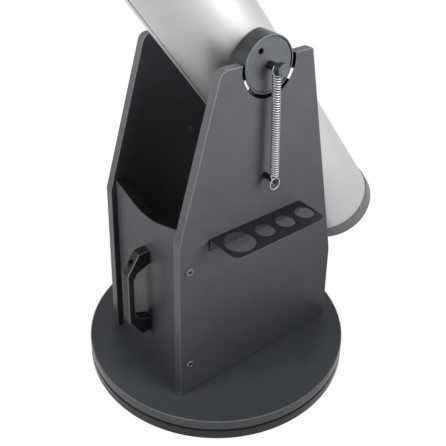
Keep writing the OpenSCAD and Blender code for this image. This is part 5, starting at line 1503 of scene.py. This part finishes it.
class TELESCOPE_OT_finder(bpy.types.Operator):
    """Finder with its objective, eye end, bracket and dovetail shoe"""
    bl_idname = "telescope.finder"
    bl_label = "Finder"

    def execute(self, context):
        """The tube is one profile from the eye end to the hood, and the lens a flat-backed dome."""
        size = sizes()
        behind_focuser, lens, lens_back, lens_front, lens_rise = 40 * MM, 15.9, 90.1, 93.9, 1.5
        out = from_tube(size.finder_roll)
        place = ALTITUDE + (FOCUS_AT - behind_focuser) * SKYWARD + size.finder_reach * out
        axes = np.array([out, np.cross(SKYWARD, out), SKYWARD])
        corners = np.array([(0, -82), (6, -82), (6, -86), (13, -86), (13, -74), (12.2, -73.4), (12.2, -71.6),
                            (13, -71), (13, -52), (15, -46), (15, 48), (19, 58), (19, 72), (18.3, 72.6),
                            (18.3, 75), (19, 75.6), (19, 104), (16, 104), (16, 94.2), (0, 94.2)]) * MM
        rounds = np.array([0, 0.3, 0.8, 1.2, 0.3, 0.3, 0.3, 0.3, 2, 2, 4, 4, 0.3, 0.3, 0.3, 0.3, 1, 0.6,
                           0.2, 0]) * MM
        shell = Shell(place, axes)
        revolve(shell, open_profile(corners, rounds), 80)
        shell.dressed("finder_tube", "tube", *ANODISED)
        reach = np.linspace(0, lens, 12)
        dome = points_at(reach, lens_front - lens_rise * (reach / lens) ** 2)
        glass = Shell(place, axes)
        revolve(glass, np.vstack([dome, [(lens, lens_back), (0, lens_back)]]) * MM, 64)
        glass.dressed("finder_lens", "tube", "finder_glass", "lens glass")
        rounded_copy("finder_bracket", "tube", *ANODISED, width=0.7 * MM)
        rounded_copy("finder_shoe", "tube", *ANODISED, width=0.5 * MM)
        return {"FINISHED"}


OPERATORS = (TELESCOPE_OT_stage, TELESCOPE_OT_boards, TELESCOPE_OT_feet, TELESCOPE_OT_panels,
             TELESCOPE_OT_brace, TELESCOPE_OT_handle, TELESCOPE_OT_rack, TELESCOPE_OT_bolts,
             TELESCOPE_OT_drums, TELESCOPE_OT_tension, TELESCOPE_OT_tube, TELESCOPE_OT_rings,
             TELESCOPE_OT_mirror, TELESCOPE_OT_spider, TELESCOPE_OT_focuser, TELESCOPE_OT_finder)


class TELESCOPE_PT_panel(bpy.types.Panel):
    """The telescope's pieces in the 3D view's sidebar"""
    bl_idname = "TELESCOPE_PT_panel"
    bl_label = "Telescope"
    bl_space_type = "VIEW_3D"
    bl_region_type = "UI"
    bl_category = "Telescope"

    def draw(self, context):
        for operator in OPERATORS:
            self.layout.operator(operator.bl_idname)


GROUPS = {"telescope_sizes": TelescopeSizes, "telescope_colours": TelescopeColours,
          "telescope_stage": TelescopeStage}
CLASSES = (*GROUPS.values(), *OPERATORS, TELESCOPE_PT_panel)


def register():
    for item in CLASSES:
        bpy.utils.register_class(item)
    for name, group in GROUPS.items():
        setattr(bpy.types.Scene, name, PointerProperty(type=group))


def unregister():
    for name in GROUPS:
        delattr(bpy.types.Scene, name)
    for item in reversed(CLASSES):
        bpy.utils.unregister_class(item)


def main():
    register()
    bpy.ops.telescope.stage()
    bpy.ops.telescope.boards()
    bpy.ops.telescope.feet()
    bpy.ops.telescope.panels()
    bpy.ops.telescope.brace()
    bpy.ops.telescope.handle()
    bpy.ops.telescope.rack()
    bpy.ops.telescope.bolts()
    bpy.ops.telescope.drums()
    bpy.ops.telescope.tension()
    bpy.ops.telescope.tube()
    bpy.ops.telescope.rings()
    bpy.ops.telescope.mirror()
    bpy.ops.telescope.spider()
    bpy.ops.telescope.focuser()
    bpy.ops.telescope.finder()
    bpy.context.view_layer.update()


if __name__ == "__main__":
    main()
